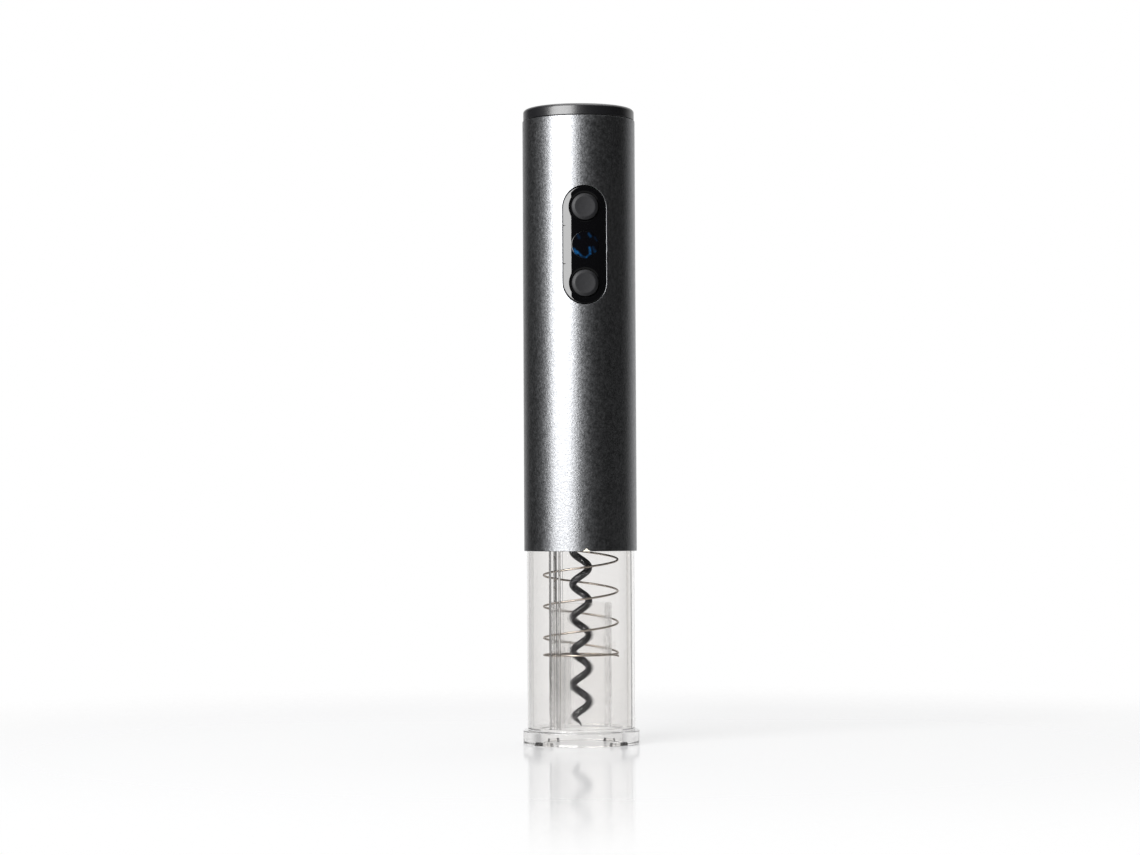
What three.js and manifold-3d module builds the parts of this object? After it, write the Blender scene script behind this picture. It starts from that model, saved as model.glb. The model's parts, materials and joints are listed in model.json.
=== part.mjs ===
// Electric wine opener: a tubular metal body holding cells, motor and planetary
// gearbox, a spring-loaded clear sleeve that telescopes up into it, and a worm.
// Millimetres, +Z up, origin under the centre of the base, control panel facing -Y.
import * as THREE from "three";
import { mergeVertices } from "three/addons/utils/BufferGeometryUtils.js";
import Module from "manifold-3d";

const wasm = await Module();
wasm.setup();

// ---------------------------------------------------------------- driving sizes
// Outside
const OVERALL_H = 248;
const BODY_OD = 44;
const TUBE_WALL = 0.8;
const TUBE_BOTTOM = 75.1;
const CAP_H = 4.4;
const CAP_INSET = 0.3;
const CAP_SKIRT = 7.6;

// Clearances
const GAP = 0.3;
const SLIDE_GAP = 0.2;

// Clear sleeve and cork guide
const SLEEVE_WALL = 1.5;
const SLEEVE_TOP = 90.3;
const SLEEVE_TRAVEL = 50;
const STOP_H = 2;
const FLANGE_OVERHANG = 0.7;
const FLANGE_H = 5.4;
const LIP_RECESS_R = 16.2;
const LIP_RECESS_H = 6.5;
const POCKET_H = 3.4;
const POCKETS = 4;
const POCKET_AZIMUTH = -51;
const RAILS = 3;
const RAIL_AZIMUTH = -37;
const RAIL_WIDTH = 4;
const RAIL_DEPTH = 1.5;
const RAIL_GROOVE = 1.4;
const CORK_BORE_R = 11;
const CORK_WALL = 1.1;
const CORK_TOP = 55;
const SPRING_LEDGE = 33.4;
const INNER_LUG_TOP = 39.5;
const OUTER_LIP_TOP = 36.7;

// Return spring and worm
const SPRING_R = 14.45;
const SPRING_WIRE = 0.8;
const SPRING_TURNS = 6.15;
const SPRING_AZIMUTH = 84;
const WORM_R = 3.25;
const WORM_WIRE_R = 1.3;
const WORM_PITCH = 13.05;
const WORM_TIP = 6.8;
const WORM_CREST = 16.4;
const WORM_AZIMUTH = 84;

// Gearbox
const MODULE = 0.55;
const SUN_TEETH = 12;
const PLANET_TEETH = 15;
const RING_TEETH = SUN_TEETH + 2 * PLANET_TEETH;
const PLANETS = 3;
const FACE_WIDTH = 8;
const PIN_R = 1.2;
const OUTPUT_SHAFT_R = 3;
const CHUCK_R = 6;

// Motor
const MOTOR_R = 13.7;
const MOTOR_L = 34;
const MOTOR_SHAFT_R = 1.15;

// Body interior
const FRAME_WALL = 1.6;
const CELL_R = 7;
const CELL_L = 49;
const CELL_X = 7.3;
const CELL_Y = 7.5;
const BOSS_R = 2.2;
const SCREW_R = 1;
const SCREW_HEAD_R = 1.8;

// Control panel
const PANEL_W = 17.5;
const PANEL_L = 46;
const PANEL_DROP = 54.9;
const PANEL_LEDGE = 1.6;
const PANEL_INSET = 0.1;
const BUTTON_R = 5.15;
const BUTTON_PITCH = 29.5;
const BUTTON_PROUD = 0.6;
const BUTTON_TRAVEL = 0.8;
const LENS_R = 5.2;
const LEDS = 6;
const LEAD_DROP = 9.3;
const BOARD_T = 1;

// Charging port
const PORT_RISE = 22.9;
const PORT_W = 10.6;
const PORT_H = 5.2;

// ---------------------------------------------------------------- derived sizes
const TUBE_R = BODY_OD / 2;
const TUBE_IN = TUBE_R - TUBE_WALL;
const CAP_BASE = OVERALL_H - CAP_H;
const TUBE_TOP = CAP_BASE - GAP;
const SLEEVE_R = TUBE_IN - SLIDE_GAP;
const SLEEVE_IN = SLEEVE_R - SLEEVE_WALL;
const FLANGE_R = TUBE_R + FLANGE_OVERHANG;
const RAIL_IN = SLEEVE_IN - RAIL_DEPTH;
const CORK_R = CORK_BORE_R + CORK_WALL;
const INSERT_BASE = LIP_RECESS_H + GAP;
const INSERT_R = RAIL_IN - GAP;
const INNER_R = TUBE_IN - GAP;
const SKIRT_R = RAIL_IN - 2 * GAP;
const SKIRT_IN = SKIRT_R - FRAME_WALL;
const LIP_IN = SKIRT_R + GAP + SLIDE_GAP;
const SKIRT_BASE = SLEEVE_TOP - STOP_H;
const STOP_TOP = SKIRT_BASE - GAP;
const SHELF_Z = CORK_TOP + SLEEVE_TRAVEL + 8;
const SHELF_T = 2.5;
const FRAME_TOP = SLEEVE_TOP + SLEEVE_TRAVEL + 9.7;
const FRAME_FLANGE_T = 2;
const SLOT_W = RAIL_WIDTH + 4 * GAP;
const SLOT_IN = SKIRT_IN + 0.4;
const WASHER_T = 0.8;

// Gearbox levels, from the frame's shelf up
const GEAR_BASE = SHELF_Z + SHELF_T;
const STAGE_H = FACE_WIDTH + 3;
const CARRIER_T = 1.6;
const CARRIER_2_Z = GEAR_BASE + 1.5;
const PLANETS_2_Z = CARRIER_2_Z + CARRIER_T + 0.7;
const CARRIER_1_Z = PLANETS_2_Z + FACE_WIDTH + 1;
const PLANETS_1_Z = CARRIER_1_Z + CARRIER_T + 0.5;
const COVER_Z = GEAR_BASE + 2 * STAGE_H + 2.5;
const COVER_T = 1.8;
const RING_R = SKIRT_IN - 0.4;
const PLANET_ORBIT = (MODULE * (SUN_TEETH + PLANET_TEETH)) / 2;
const GEAR_SCREW_R = 0.8;
const GEAR_SCREW_ORBIT = 13.6;
const CHUCK_BASE = 84;
const CHUCK_TOP = SHELF_Z - 0.8;
const SHANK_TOP = CHUCK_TOP - 8.8;

// Levels above the gearbox
const MOTOR_Z = COVER_Z + COVER_T + GAP;
const PORT_Z = MOTOR_Z + PORT_RISE;
const CAN_WALL = 1;
const ENDBELL_T = 2;
const SHELL_Z = FRAME_TOP + GAP;
const SHELL_TOP = CAP_BASE - CAP_SKIRT - GAP;
const SHELL_IN = INNER_R - FRAME_WALL;
const CELL_Z = MOTOR_Z + MOTOR_L + ENDBELL_T + 3.6;
const CELL_SHELF_T = 1.5;
const CONTACT_T = 0.4;

// Panel levels, measured outwards from the body's axis
const PANEL_Z = OVERALL_H - PANEL_DROP;
const PANEL_R = TUBE_R - PANEL_INSET;
const PANEL_IN = INNER_R - 1.1;
const BOARD_Y = PANEL_IN - 4.7;
const SWITCH_T = 1.5;
const SWITCH_W = 4.5;
const BUTTON_FACE = TUBE_R + BUTTON_PROUD;
const STEM_END = BOARD_Y + SWITCH_T + 0.4 + BUTTON_TRAVEL;

const ROUND = 40;
const MEDIUM = 24;
const SMALL = 12;

// ---------------------------------------------------------------- geometry tools
// A closed solid from a geometry whose shared corners are merged, faces outwards.
function solid(geometry) {
  const bare = geometry.index ? geometry.toNonIndexed() : geometry.clone();
  bare.deleteAttribute("normal");
  bare.deleteAttribute("uv");
  const merged = mergeVertices(bare, 1e-4);
  const points = merged.attributes.position.array;
  const faces = [];
  let volume = 0;
  for (let i = 0; i < merged.index.count; i += 3) {
    const face = [0, 1, 2].map((k) => merged.index.getX(i + k));
    if (new Set(face).size < 3) continue;
    const [a, b, c] = face.map((v) => new THREE.Vector3().fromArray(points, 3 * v));
    volume += a.dot(b.cross(c));
    faces.push(face);
  }
  const outward = volume < 0 ? faces.map(([a, b, c]) => [a, c, b]) : faces;
  return new wasm.Manifold(
    new wasm.Mesh({
      numProp: 3,
      vertProperties: new Float32Array(points),
      triVerts: new Uint32Array(outward.flat()),
    }),
  );
}

// A solid turned about Z from a closed outline of [radius, height] corners.
function turned(outline, segments = ROUND) {
  const points = [...outline, outline[0]].map(([r, z]) => new THREE.Vector2(r, z));
  return solid(new THREE.LatheGeometry(points, segments).rotateX(Math.PI / 2));
}

function ring(inner, outer, low, high, segments = ROUND) {
  const outline = [
    [inner, low],
    [outer, low],
    [outer, high],
    [inner, high],
  ];
  return turned(outline, segments);
}

function disc(radius, low, high, segments = SMALL) {
  return ring(0, radius, low, high, segments);
}

function box(low, high) {
  const size = new THREE.Vector3().subVectors(high, low);
  const middle = new THREE.Vector3().addVectors(low, high).multiplyScalar(0.5);
  const geometry = new THREE.BoxGeometry(size.x, size.y, size.z);
  return solid(geometry.translate(middle.x, middle.y, middle.z));
}

// A block with its width across X, its depth outwards along -Y and its height up Z.
function frontBlock(width, inner, outer, low, high) {
  return box(
    new THREE.Vector3(-width / 2, -outer, low),
    new THREE.Vector3(width / 2, -inner, high),
  );
}

function prism(shape, low, high, curveSegments = 7) {
  const settings = { depth: high - low, bevelEnabled: false, curveSegments };
  return solid(new THREE.ExtrudeGeometry(shape, settings).translate(0, 0, low));
}

// A rounded slot outline, width across and length along, with half-round ends.
function slotShape(width, length) {
  const r = Math.min(width, length) / 2;
  const upright = length > width;
  const run = Math.abs(length - width) / 2;
  const turn = upright ? 0 : -Math.PI / 2;
  const end = new THREE.Vector2(0, run).rotateAround(new THREE.Vector2(), turn);
  const shape = new THREE.Shape();
  shape.absarc(end.x, end.y, r, turn, turn + Math.PI);
  shape.absarc(-end.x, -end.y, r, turn + Math.PI, turn + 2 * Math.PI);
  shape.closePath();
  return shape;
}

// Stands a solid built along +Z so that it points outwards along -Y, at height z.
function outwards(piece, z = 0) {
  return piece.rotate([90, 0, 0]).translate([0, 0, z]);
}

// Turns a solid built at the front (-Y) to an azimuth in degrees, positive towards +X.
function atAzimuth(piece, degrees) {
  return piece.rotate([0, 0, degrees]);
}

function around(count, start, make) {
  return Array.from({ length: count }, (_, i) => make(start + (360 * i) / count));
}

function join(...pieces) {
  return pieces.flat().reduce((whole, piece) => whole.add(piece));
}

function cut(piece, ...tools) {
  return tools.flat().reduce((left, tool) => left.subtract(tool), piece);
}

// A round wire wound about Z: centre radius, height and wire radius are functions of
// the wound angle in radians, and every cross-section is square to the wire.
function wound(from, to, stepsPerTurn, sides, radiusAt, heightAt, wireAt) {
  const steps = Math.ceil(((to - from) / (2 * Math.PI)) * stepsPerTurn);
  const centre = (angle) =>
    new THREE.Vector3(
      radiusAt(angle) * Math.cos(angle),
      radiusAt(angle) * Math.sin(angle),
      heightAt(angle),
    );
  const positions = [];
  const index = [];
  for (let i = 0; i <= steps; i++) {
    const angle = from + ((to - from) * i) / steps;
    const middle = centre(angle);
    const along = centre(angle + 1e-3).sub(centre(angle - 1e-3)).normalize();
    const out = new THREE.Vector3(Math.cos(angle), Math.sin(angle), 0);
    out.addScaledVector(along, -out.dot(along)).normalize();
    const side = new THREE.Vector3().crossVectors(along, out);
    for (let k = 0; k < sides; k++) {
      const turn = (2 * Math.PI * k) / sides;
      const point = middle
        .clone()
        .addScaledVector(out, wireAt(angle) * Math.cos(turn))
        .addScaledVector(side, wireAt(angle) * Math.sin(turn));
      positions.push(...point);
    }
  }
  for (let i = 0; i < steps; i++) {
    for (let k = 0; k < sides; k++) {
      const a = i * sides + k;
      const b = i * sides + ((k + 1) % sides);
      index.push(a, b, b + sides, a, b + sides, a + sides);
    }
  }
  const last = steps * sides;
  for (let k = 1; k < sides - 1; k++) {
    index.push(0, k + 1, k, last, last + k, last + k + 1);
  }
  const geometry = new THREE.BufferGeometry();
  geometry.setAttribute("position", new THREE.Float32BufferAttribute(positions, 3));
  geometry.setIndex(index);
  return solid(geometry);
}

// Stub-toothed gear outline, one tooth centred on the given angle. With inner set the
// teeth point inwards, as on a ring gear.
function toothed(path, teeth, phase, inner = false) {
  const pitch = (MODULE * teeth) / 2;
  const sign = inner ? -1 : 1;
  const tip = pitch + sign * 0.75 * MODULE;
  const root = pitch - sign * 0.95 * MODULE;
  const share = Math.PI / teeth;
  const corners = [
    [root, -0.62],
    [tip, -0.2],
    [tip, 0.2],
    [root, 0.62],
  ];
  for (let i = 0; i < teeth; i++) {
    for (const [radius, part] of corners) {
      const angle = phase + 2 * share * i + part * share;
      const [x, y] = [radius * Math.cos(angle), radius * Math.sin(angle)];
      if (path.currentPoint.lengthSq() === 0) path.moveTo(x, y);
      else path.lineTo(x, y);
    }
  }
  path.closePath();
  return path;
}

// ---------------------------------------------------------------- scene tools
const PLASTIC_BLACK = { color: 0x17171a, roughness: 0.45, metalness: 0 };
const GLOSS_BLACK = { color: 0x08080a, roughness: 0.08, metalness: 0 };
const RUBBER_GREY = { color: 0x3a3a3e, roughness: 0.75, metalness: 0 };
const CLEAR = { color: 0xe8ecee, roughness: 0.05, metalness: 0, transparent: true, opacity: 0.35 };
const GUNMETAL = { color: 0x4b4b4e, roughness: 0.35, metalness: 0.9 };
const STEEL = { color: 0xb8b4ac, roughness: 0.25, metalness: 1 };
const COATED_STEEL = { color: 0x2c2d30, roughness: 0.35, metalness: 0.3 };
const NYLON = { color: 0xe4e0d2, roughness: 0.6, metalness: 0 };
const BRONZE = { color: 0x9c7a4a, roughness: 0.5, metalness: 0.9 };
const BOARD_GREEN = { color: 0x1f5a38, roughness: 0.5, metalness: 0 };
const CELL_WRAP = { color: 0x2c5f9e, roughness: 0.4, metalness: 0 };
const LED_BLUE = { color: 0x3c8cf0, roughness: 0.3, metalness: 0 };
const LEAD_RED = { color: 0xa01c1c, roughness: 0.6, metalness: 0 };

function node(name, piece, finish, place = [0, 0, 0], turn = 0) {
  const shape = piece.getMesh();
  const geometry = new THREE.BufferGeometry();
  const points = new THREE.BufferAttribute(new Float32Array(shape.vertProperties), 3);
  geometry.setAttribute("position", points);
  geometry.setIndex(new THREE.BufferAttribute(new Uint32Array(shape.triVerts), 1));
  geometry.computeVertexNormals();
  const mesh = new THREE.Mesh(geometry, new THREE.MeshStandardMaterial(finish));
  mesh.name = name;
  mesh.position.set(...place);
  mesh.rotation.z = turn;
  return mesh;
}

function group(...meshes) {
  const holder = new THREE.Group();
  holder.add(...meshes.flat());
  return holder;
}

// ---------------------------------------------------------------- outer shell
function outerShell() {
  const markHalf = 1.5;
  const mark = new THREE.Shape();
  mark.moveTo(-markHalf, -GAP);
  mark.lineTo(markHalf, -GAP);
  mark.lineTo(0, 1.3);
  mark.closePath();
  const tube = cut(
    ring(TUBE_IN, TUBE_R, TUBE_BOTTOM, TUBE_TOP),
    outwards(prism(slotShape(PANEL_W, PANEL_L), 0, 2 * TUBE_R), PANEL_Z),
    outwards(prism(slotShape(PORT_W, PORT_H), 0, 2 * TUBE_R), PORT_Z).rotate([0, 0, 180]),
    outwards(prism(mark, 0, 2 * TUBE_R), TUBE_BOTTOM),
  );
  const capR = TUBE_R - CAP_INSET;
  const chamfer = 0.8;
  const capFloor = OVERALL_H - 2;
  const cap = turned([
    [0, capFloor],
    [SHELL_IN, capFloor],
    [SHELL_IN, CAP_BASE - CAP_SKIRT],
    [INNER_R, CAP_BASE - CAP_SKIRT],
    [INNER_R, CAP_BASE],
    [capR, CAP_BASE],
    [capR, OVERALL_H - chamfer],
    [capR - chamfer, OVERALL_H],
    [0, OVERALL_H],
  ]);
  return group(node("body_tube", tube, GUNMETAL), node("top_cap", cap, PLASTIC_BLACK));
}

// ---------------------------------------------------------------- control panel
function panelBezel() {
  const face = outwards(prism(slotShape(PANEL_W - 2 * GAP, PANEL_L - 2 * GAP), 0, 2 * TUBE_R));
  const ledge = outwards(
    prism(slotShape(PANEL_W + 2 * PANEL_LEDGE, PANEL_L + 2 * PANEL_LEDGE), 0, 2 * TUBE_R),
  );
  const reach = PANEL_L;
  const plate = join(
    face.intersect(ring(PANEL_IN, PANEL_R, -reach, reach)),
    ledge.intersect(ring(PANEL_IN, INNER_R, -reach, reach)),
  );
  const bores = [-1, 1].map((side) =>
    outwards(disc(BUTTON_R + GAP, 0, 2 * TUBE_R), (side * BUTTON_PITCH) / 2),
  );
  return cut(plate, bores, outwards(disc(LENS_R + GAP, 0, 2 * TUBE_R)));
}

function pushButton() {
  const collarR = BUTTON_R + 0.9;
  const collarFace = Math.sqrt(PANEL_IN ** 2 - collarR ** 2) - GAP;
  const bevel = 1.2;
  const step = 0.45;
  return outwards(
    turned(
      [
        [0, STEM_END],
        [1.6, STEM_END],
        [1.6, collarFace - 0.7],
        [collarR, collarFace - 0.7],
        [collarR, collarFace],
        [BUTTON_R, collarFace],
        [BUTTON_R, BUTTON_FACE - step],
        [BUTTON_R - bevel, BUTTON_FACE],
        [0, BUTTON_FACE],
      ],
      24,
    ),
  );
}

function controlPanel() {
  const lensCrown = 0.15;
  const lens = outwards(
    turned(
      [
        [0, PANEL_IN + 0.2],
        [LENS_R, PANEL_IN + 0.2],
        [LENS_R, PANEL_R - 0.7],
        [LENS_R - 0.6, PANEL_R - 0.2],
        [0, PANEL_R + lensCrown],
      ],
      24,
    ),
  );
  const guideR = 4.4;
  const ledT = 1;
  const guide = outwards(ring(2.6, guideR, BOARD_Y + ledT + GAP, PANEL_IN - 0.8, SMALL));
  const ledOrbit = 3.5;
  const led = frontBlock(1.6, BOARD_Y, BOARD_Y + ledT, -0.5, 0.5);
  const board = frontBlock(PANEL_W - 0.5, BOARD_Y - BOARD_T, BOARD_Y, -PANEL_L / 2 - 1, PANEL_L / 2 + 1);
  const half = SWITCH_W / 2;
  const touch = join(
    frontBlock(SWITCH_W, BOARD_Y, BOARD_Y + SWITCH_T, -half, half),
    outwards(disc(1.1, BOARD_Y + SWITCH_T - 0.1, BOARD_Y + SWITCH_T + GAP, 12)),
  );
  const leds = around(LEDS, 30, (angle) => {
    const turn = THREE.MathUtils.degToRad(angle);
    const place = [ledOrbit * Math.cos(turn), 0, ledOrbit * Math.sin(turn)];
    return node("status_led_" + Math.round((angle + 30) / 60), led, LED_BLUE, place);
  });
  const controls = [
    ["up", BUTTON_PITCH / 2],
    ["down", -BUTTON_PITCH / 2],
  ].map(([name, z]) => [
    node("button_" + name, pushButton(), RUBBER_GREY, [0, 0, z]),
    node("touch_switch_" + name, touch, PLASTIC_BLACK, [0, 0, z]),
  ]);
  const panel = group(
    node("panel_bezel", panelBezel(), GLOSS_BLACK),
    node("indicator_lens", lens, GLOSS_BLACK),
    node("light_guide", guide, CLEAR),
    node("control_board", board, BOARD_GREEN),
    leds,
    controls.flat(),
  );
  panel.position.z = PANEL_Z;
  return panel;
}

// ---------------------------------------------------------------- inner shells
// Screw positions of the two half shells: either side, low and high.
const SHELL_SCREW_X = SHELL_IN - 0.3 - BOSS_R;
const SHELL_SCREW_Z = [SHELL_Z + 9.7, SHELL_TOP - 13.7];
const BOSS_DEPTH = 6;

function shellHalf(side) {
  const skin = ring(SHELL_IN, INNER_R, SHELL_Z, SHELL_TOP);
  const reach = 2 * TUBE_R;
  const near = side < 0 ? -reach : GAP / 2;
  const far = side < 0 ? -GAP / 2 : reach;
  const half = box(
    new THREE.Vector3(-reach, near, 0),
    new THREE.Vector3(reach, far, OVERALL_H),
  );
  const bosses = [-1, 1].flatMap((hand) =>
    SHELL_SCREW_Z.map((z) =>
      disc(BOSS_R, GAP / 2, BOSS_DEPTH, 12)
        .rotate([90, 0, 0])
        .mirror(side < 0 ? [0, 0, 0] : [0, 1, 0])
        .translate([hand * SHELL_SCREW_X, 0, z]),
    ),
  );
  const bore = join(
    disc(SCREW_R + GAP, -BOSS_DEPTH, 2 * BOSS_DEPTH, 10),
    disc(SCREW_HEAD_R + GAP, BOSS_DEPTH, reach, 12),
  ).rotate([90, 0, 0]);
  const bores = [-1, 1].flatMap((hand) =>
    SHELL_SCREW_Z.map((z) => bore.translate([hand * SHELL_SCREW_X, 0, z])),
  );
  const shelves =
    side < 0
      ? []
      : [CELL_Z - CELL_SHELF_T - CONTACT_T - GAP, CELL_Z + CELL_L + CONTACT_T + GAP].map((z) =>
          disc(SHELL_IN + 0.2, z, z + CELL_SHELF_T, MEDIUM).intersect(half),
        );
  return cut(join(skin.intersect(half), bosses, shelves), bores);
}

function innerShells() {
  const window = outwards(
    prism(
      slotShape(PANEL_W + 2 * PANEL_LEDGE + 4 * GAP, PANEL_L + 2 * PANEL_LEDGE + 4 * GAP),
      0,
      2 * TUBE_R,
    ),
    PANEL_Z,
  );
  const portWindow = outwards(
    prism(slotShape(PORT_W + 2 * PANEL_LEDGE + 2 * GAP, PORT_H + 2 * PANEL_LEDGE + 2 * GAP), 0, 2 * TUBE_R),
    PORT_Z,
  ).rotate([0, 0, 180]);
  const screw = join(
    disc(SCREW_R, -BOSS_DEPTH + 1, BOSS_DEPTH + GAP, 10),
    disc(SCREW_HEAD_R, BOSS_DEPTH + GAP, BOSS_DEPTH + 1.5, 12),
  ).rotate([90, 0, 0]);
  const screws = [-1, 1].flatMap((hand) =>
    SHELL_SCREW_Z.map((z, level) =>
      node(
        "shell_screw_" + (hand < 0 ? "left_" : "right_") + (level ? "upper" : "lower"),
        screw,
        STEEL,
        [hand * SHELL_SCREW_X, 0, z],
      ),
    ),
  );
  return group(
    node("shell_front", cut(shellHalf(-1), window), PLASTIC_BLACK),
    node("shell_rear", cut(shellHalf(1), portWindow), PLASTIC_BLACK),
    screws,
  );
}

// ---------------------------------------------------------------- cells
function cells() {
  const nubR = 2.6;
  const nubH = 1;
  const cell = turned(
    [
      [0, 0],
      [CELL_R - 0.5, 0],
      [CELL_R, 0.5],
      [CELL_R, CELL_L - nubH - 0.5],
      [CELL_R - 0.5, CELL_L - nubH],
      [nubR, CELL_L - nubH],
      [nubR, CELL_L],
      [0, CELL_L],
    ],
    SMALL,
  );
  const tab = box(
    new THREE.Vector3(-CELL_X - 3, CELL_Y - 2.5, 0),
    new THREE.Vector3(CELL_X + 3, CELL_Y + 2.5, CONTACT_T),
  );
  return group(
    node("cell_left", cell, CELL_WRAP, [-CELL_X, CELL_Y, CELL_Z]),
    node("cell_right", cell, CELL_WRAP, [CELL_X, CELL_Y, CELL_Z]),
    node("cell_contact_lower", tab, STEEL, [0, 0, CELL_Z - CONTACT_T - GAP / 2]),
    node("cell_contact_upper", tab, STEEL, [0, 0, CELL_Z + CELL_L + GAP / 2]),
  );
}

// ---------------------------------------------------------------- charging port
// Built facing the front, then the whole group is turned to the back.
function chargingPort() {
  const mouthW = PORT_W - 1.4;
  const mouthH = PORT_H - 1.6;
  const face = outwards(prism(slotShape(PORT_W - 2 * GAP, PORT_H - 2 * GAP), 0, 2 * TUBE_R));
  const ledge = outwards(
    prism(slotShape(PORT_W + 2 * PANEL_LEDGE, PORT_H + 2 * PANEL_LEDGE), 0, 2 * TUBE_R),
  );
  const mouth = outwards(prism(slotShape(mouthW, mouthH), 0, 2 * TUBE_R));
  const bezel = cut(
    join(
      face.intersect(ring(PANEL_IN, TUBE_R - 0.2, -PORT_W, PORT_W)),
      ledge.intersect(ring(PANEL_IN, INNER_R, -PORT_W, PORT_W)),
    ),
    mouth,
  );
  const boardY = MOTOR_R + 0.9;
  const socketFace = TUBE_R - 0.8;
  const socketW = mouthW - 2 * GAP;
  const socketH = mouthH - 2 * GAP;
  const wall = 0.35;
  const tongue = 0.7;
  const shell = cut(
    outwards(prism(slotShape(socketW, socketH), boardY + BOARD_T, socketFace)),
    outwards(prism(slotShape(socketW - 2 * wall, socketH - 2 * wall), boardY + 2 * BOARD_T, 2 * TUBE_R)),
  );
  const socket = join(
    shell,
    frontBlock(socketW * 0.68, boardY + BOARD_T + 0.5, socketFace - 0.6, -tongue / 2, tongue / 2),
  );
  const board = frontBlock(PORT_W + 2, boardY, boardY + BOARD_T, -7, 7);
  const port = group(
    node("port_bezel", bezel, PLASTIC_BLACK),
    node("charging_socket", socket, STEEL),
    node("charging_board", board, BOARD_GREEN),
  );
  port.rotation.z = Math.PI;
  port.position.z = PORT_Z;
  return port;
}

// ---------------------------------------------------------------- motor
function motor() {
  const canTop = MOTOR_Z + MOTOR_L;
  const boreR = MOTOR_SHAFT_R + 0.9;
  const can = turned(
    [
      [boreR, MOTOR_Z],
      [MOTOR_R, MOTOR_Z],
      [MOTOR_R, canTop],
      [MOTOR_R - CAN_WALL, canTop],
      [MOTOR_R - CAN_WALL, MOTOR_Z + CAN_WALL],
      [boreR, MOTOR_Z + CAN_WALL],
    ],
    MEDIUM,
  );
  const endbell = ring(MOTOR_SHAFT_R + 0.35, MOTOR_R - 0.2, canTop + GAP, canTop + ENDBELL_T, MEDIUM);
  const magnetOut = MOTOR_R - CAN_WALL - 0.4;
  const magnetIn = magnetOut - 3;
  const coreR = magnetIn - 0.8;
  const arc = THREE.MathUtils.degToRad(140);
  const magnetShape = new THREE.Shape();
  magnetShape.absarc(0, 0, magnetOut, -arc / 2, arc / 2, false);
  magnetShape.absarc(0, 0, magnetIn, arc / 2, -arc / 2, true);
  magnetShape.closePath();
  const magnet = prism(magnetShape, MOTOR_Z + 5, canTop - 5, 12);
  const pinion = prism(toothed(new THREE.Shape(), SUN_TEETH, 0), PLANETS_1_Z, PLANETS_1_Z + FACE_WIDTH);
  const rotor = join(
    disc(MOTOR_SHAFT_R, PLANETS_1_Z, canTop + ENDBELL_T + 1, SMALL),
    pinion,
    disc(coreR, MOTOR_Z + 6, canTop - 8, MEDIUM),
    disc(coreR * 0.45, canTop - 8.2, canTop - 3, SMALL),
  );
  return group(
    node("motor_can", can, STEEL),
    node("motor_endbell", endbell, PLASTIC_BLACK),
    node("motor_magnet_left", magnet, COATED_STEEL, [0, 0, 0], Math.PI),
    node("motor_magnet_right", magnet, COATED_STEEL),
    node("motor_rotor", rotor, STEEL),
    motorLeads(canTop + ENDBELL_T),
  );
}

// Two insulated leads from the motor's terminals forward to the control board.
function motorLeads(terminalZ) {
  const leadR = 0.7;
  const section = new THREE.Shape().absarc(0, 0, leadR, 0, 2 * Math.PI);
  const boardBack = BOARD_Y - BOARD_T;
  const landing = PANEL_Z - LEAD_DROP;
  return [
    ["motor_lead_positive", 1, LEAD_RED],
    ["motor_lead_negative", -1, PLASTIC_BLACK],
  ].map(([name, hand, finish]) => {
    const route = new THREE.CatmullRomCurve3([
      new THREE.Vector3(hand * 6, -1.6, terminalZ + GAP),
      new THREE.Vector3(hand * 6, -2, terminalZ + 2.2),
      new THREE.Vector3(hand * 5.6, -5, (terminalZ + landing) / 2 + 1.3),
      new THREE.Vector3(hand * 5, -boardBack + 2.4, landing - 0.2),
      new THREE.Vector3(hand * 5, -boardBack + GAP, landing),
    ]);
    const settings = { steps: 16, extrudePath: route, curveSegments: 2 };
    const lead = solid(new THREE.ExtrudeGeometry(section, settings));
    return node(name, lead, finish);
  });
}

// ---------------------------------------------------------------- gearbox
// A planet at the given angle is turned so that its tooth gap meets the sun's tooth.
function planetPhase(angle) {
  return angle + Math.PI + (SUN_TEETH * angle - Math.PI) / PLANET_TEETH;
}

function planets(stage, low) {
  const shape = toothed(new THREE.Shape(), PLANET_TEETH, 0);
  shape.holes.push(new THREE.Path().absarc(0, 0, PIN_R + GAP, 0, 2 * Math.PI));
  const planet = prism(shape, 0, FACE_WIDTH, 5);
  return around(PLANETS, 0, (degrees) => {
    const angle = THREE.MathUtils.degToRad(degrees);
    const place = [PLANET_ORBIT * Math.cos(angle), PLANET_ORBIT * Math.sin(angle), low];
    const name = "planet_" + stage + "_" + (1 + Math.round(degrees / 120));
    return node(name, planet, NYLON, place, planetPhase(angle));
  });
}

function carrier(low) {
  const discR = PLANET_ORBIT + PIN_R + 0.9;
  const pins = around(PLANETS, 0, (degrees) =>
    disc(PIN_R, low + CARRIER_T - 0.2, low + CARRIER_T + FACE_WIDTH + 1, 12)
      .translate([PLANET_ORBIT, 0, 0])
      .rotate([0, 0, degrees]),
  );
  return join(disc(discR, low, low + CARRIER_T, MEDIUM), pins);
}

function gearScrewHoles(low, high, radius) {
  return around(PLANETS, 60, (degrees) =>
    disc(radius, low, high, 10).translate([GEAR_SCREW_ORBIT, 0, 0]).rotate([0, 0, degrees]),
  );
}

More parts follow.
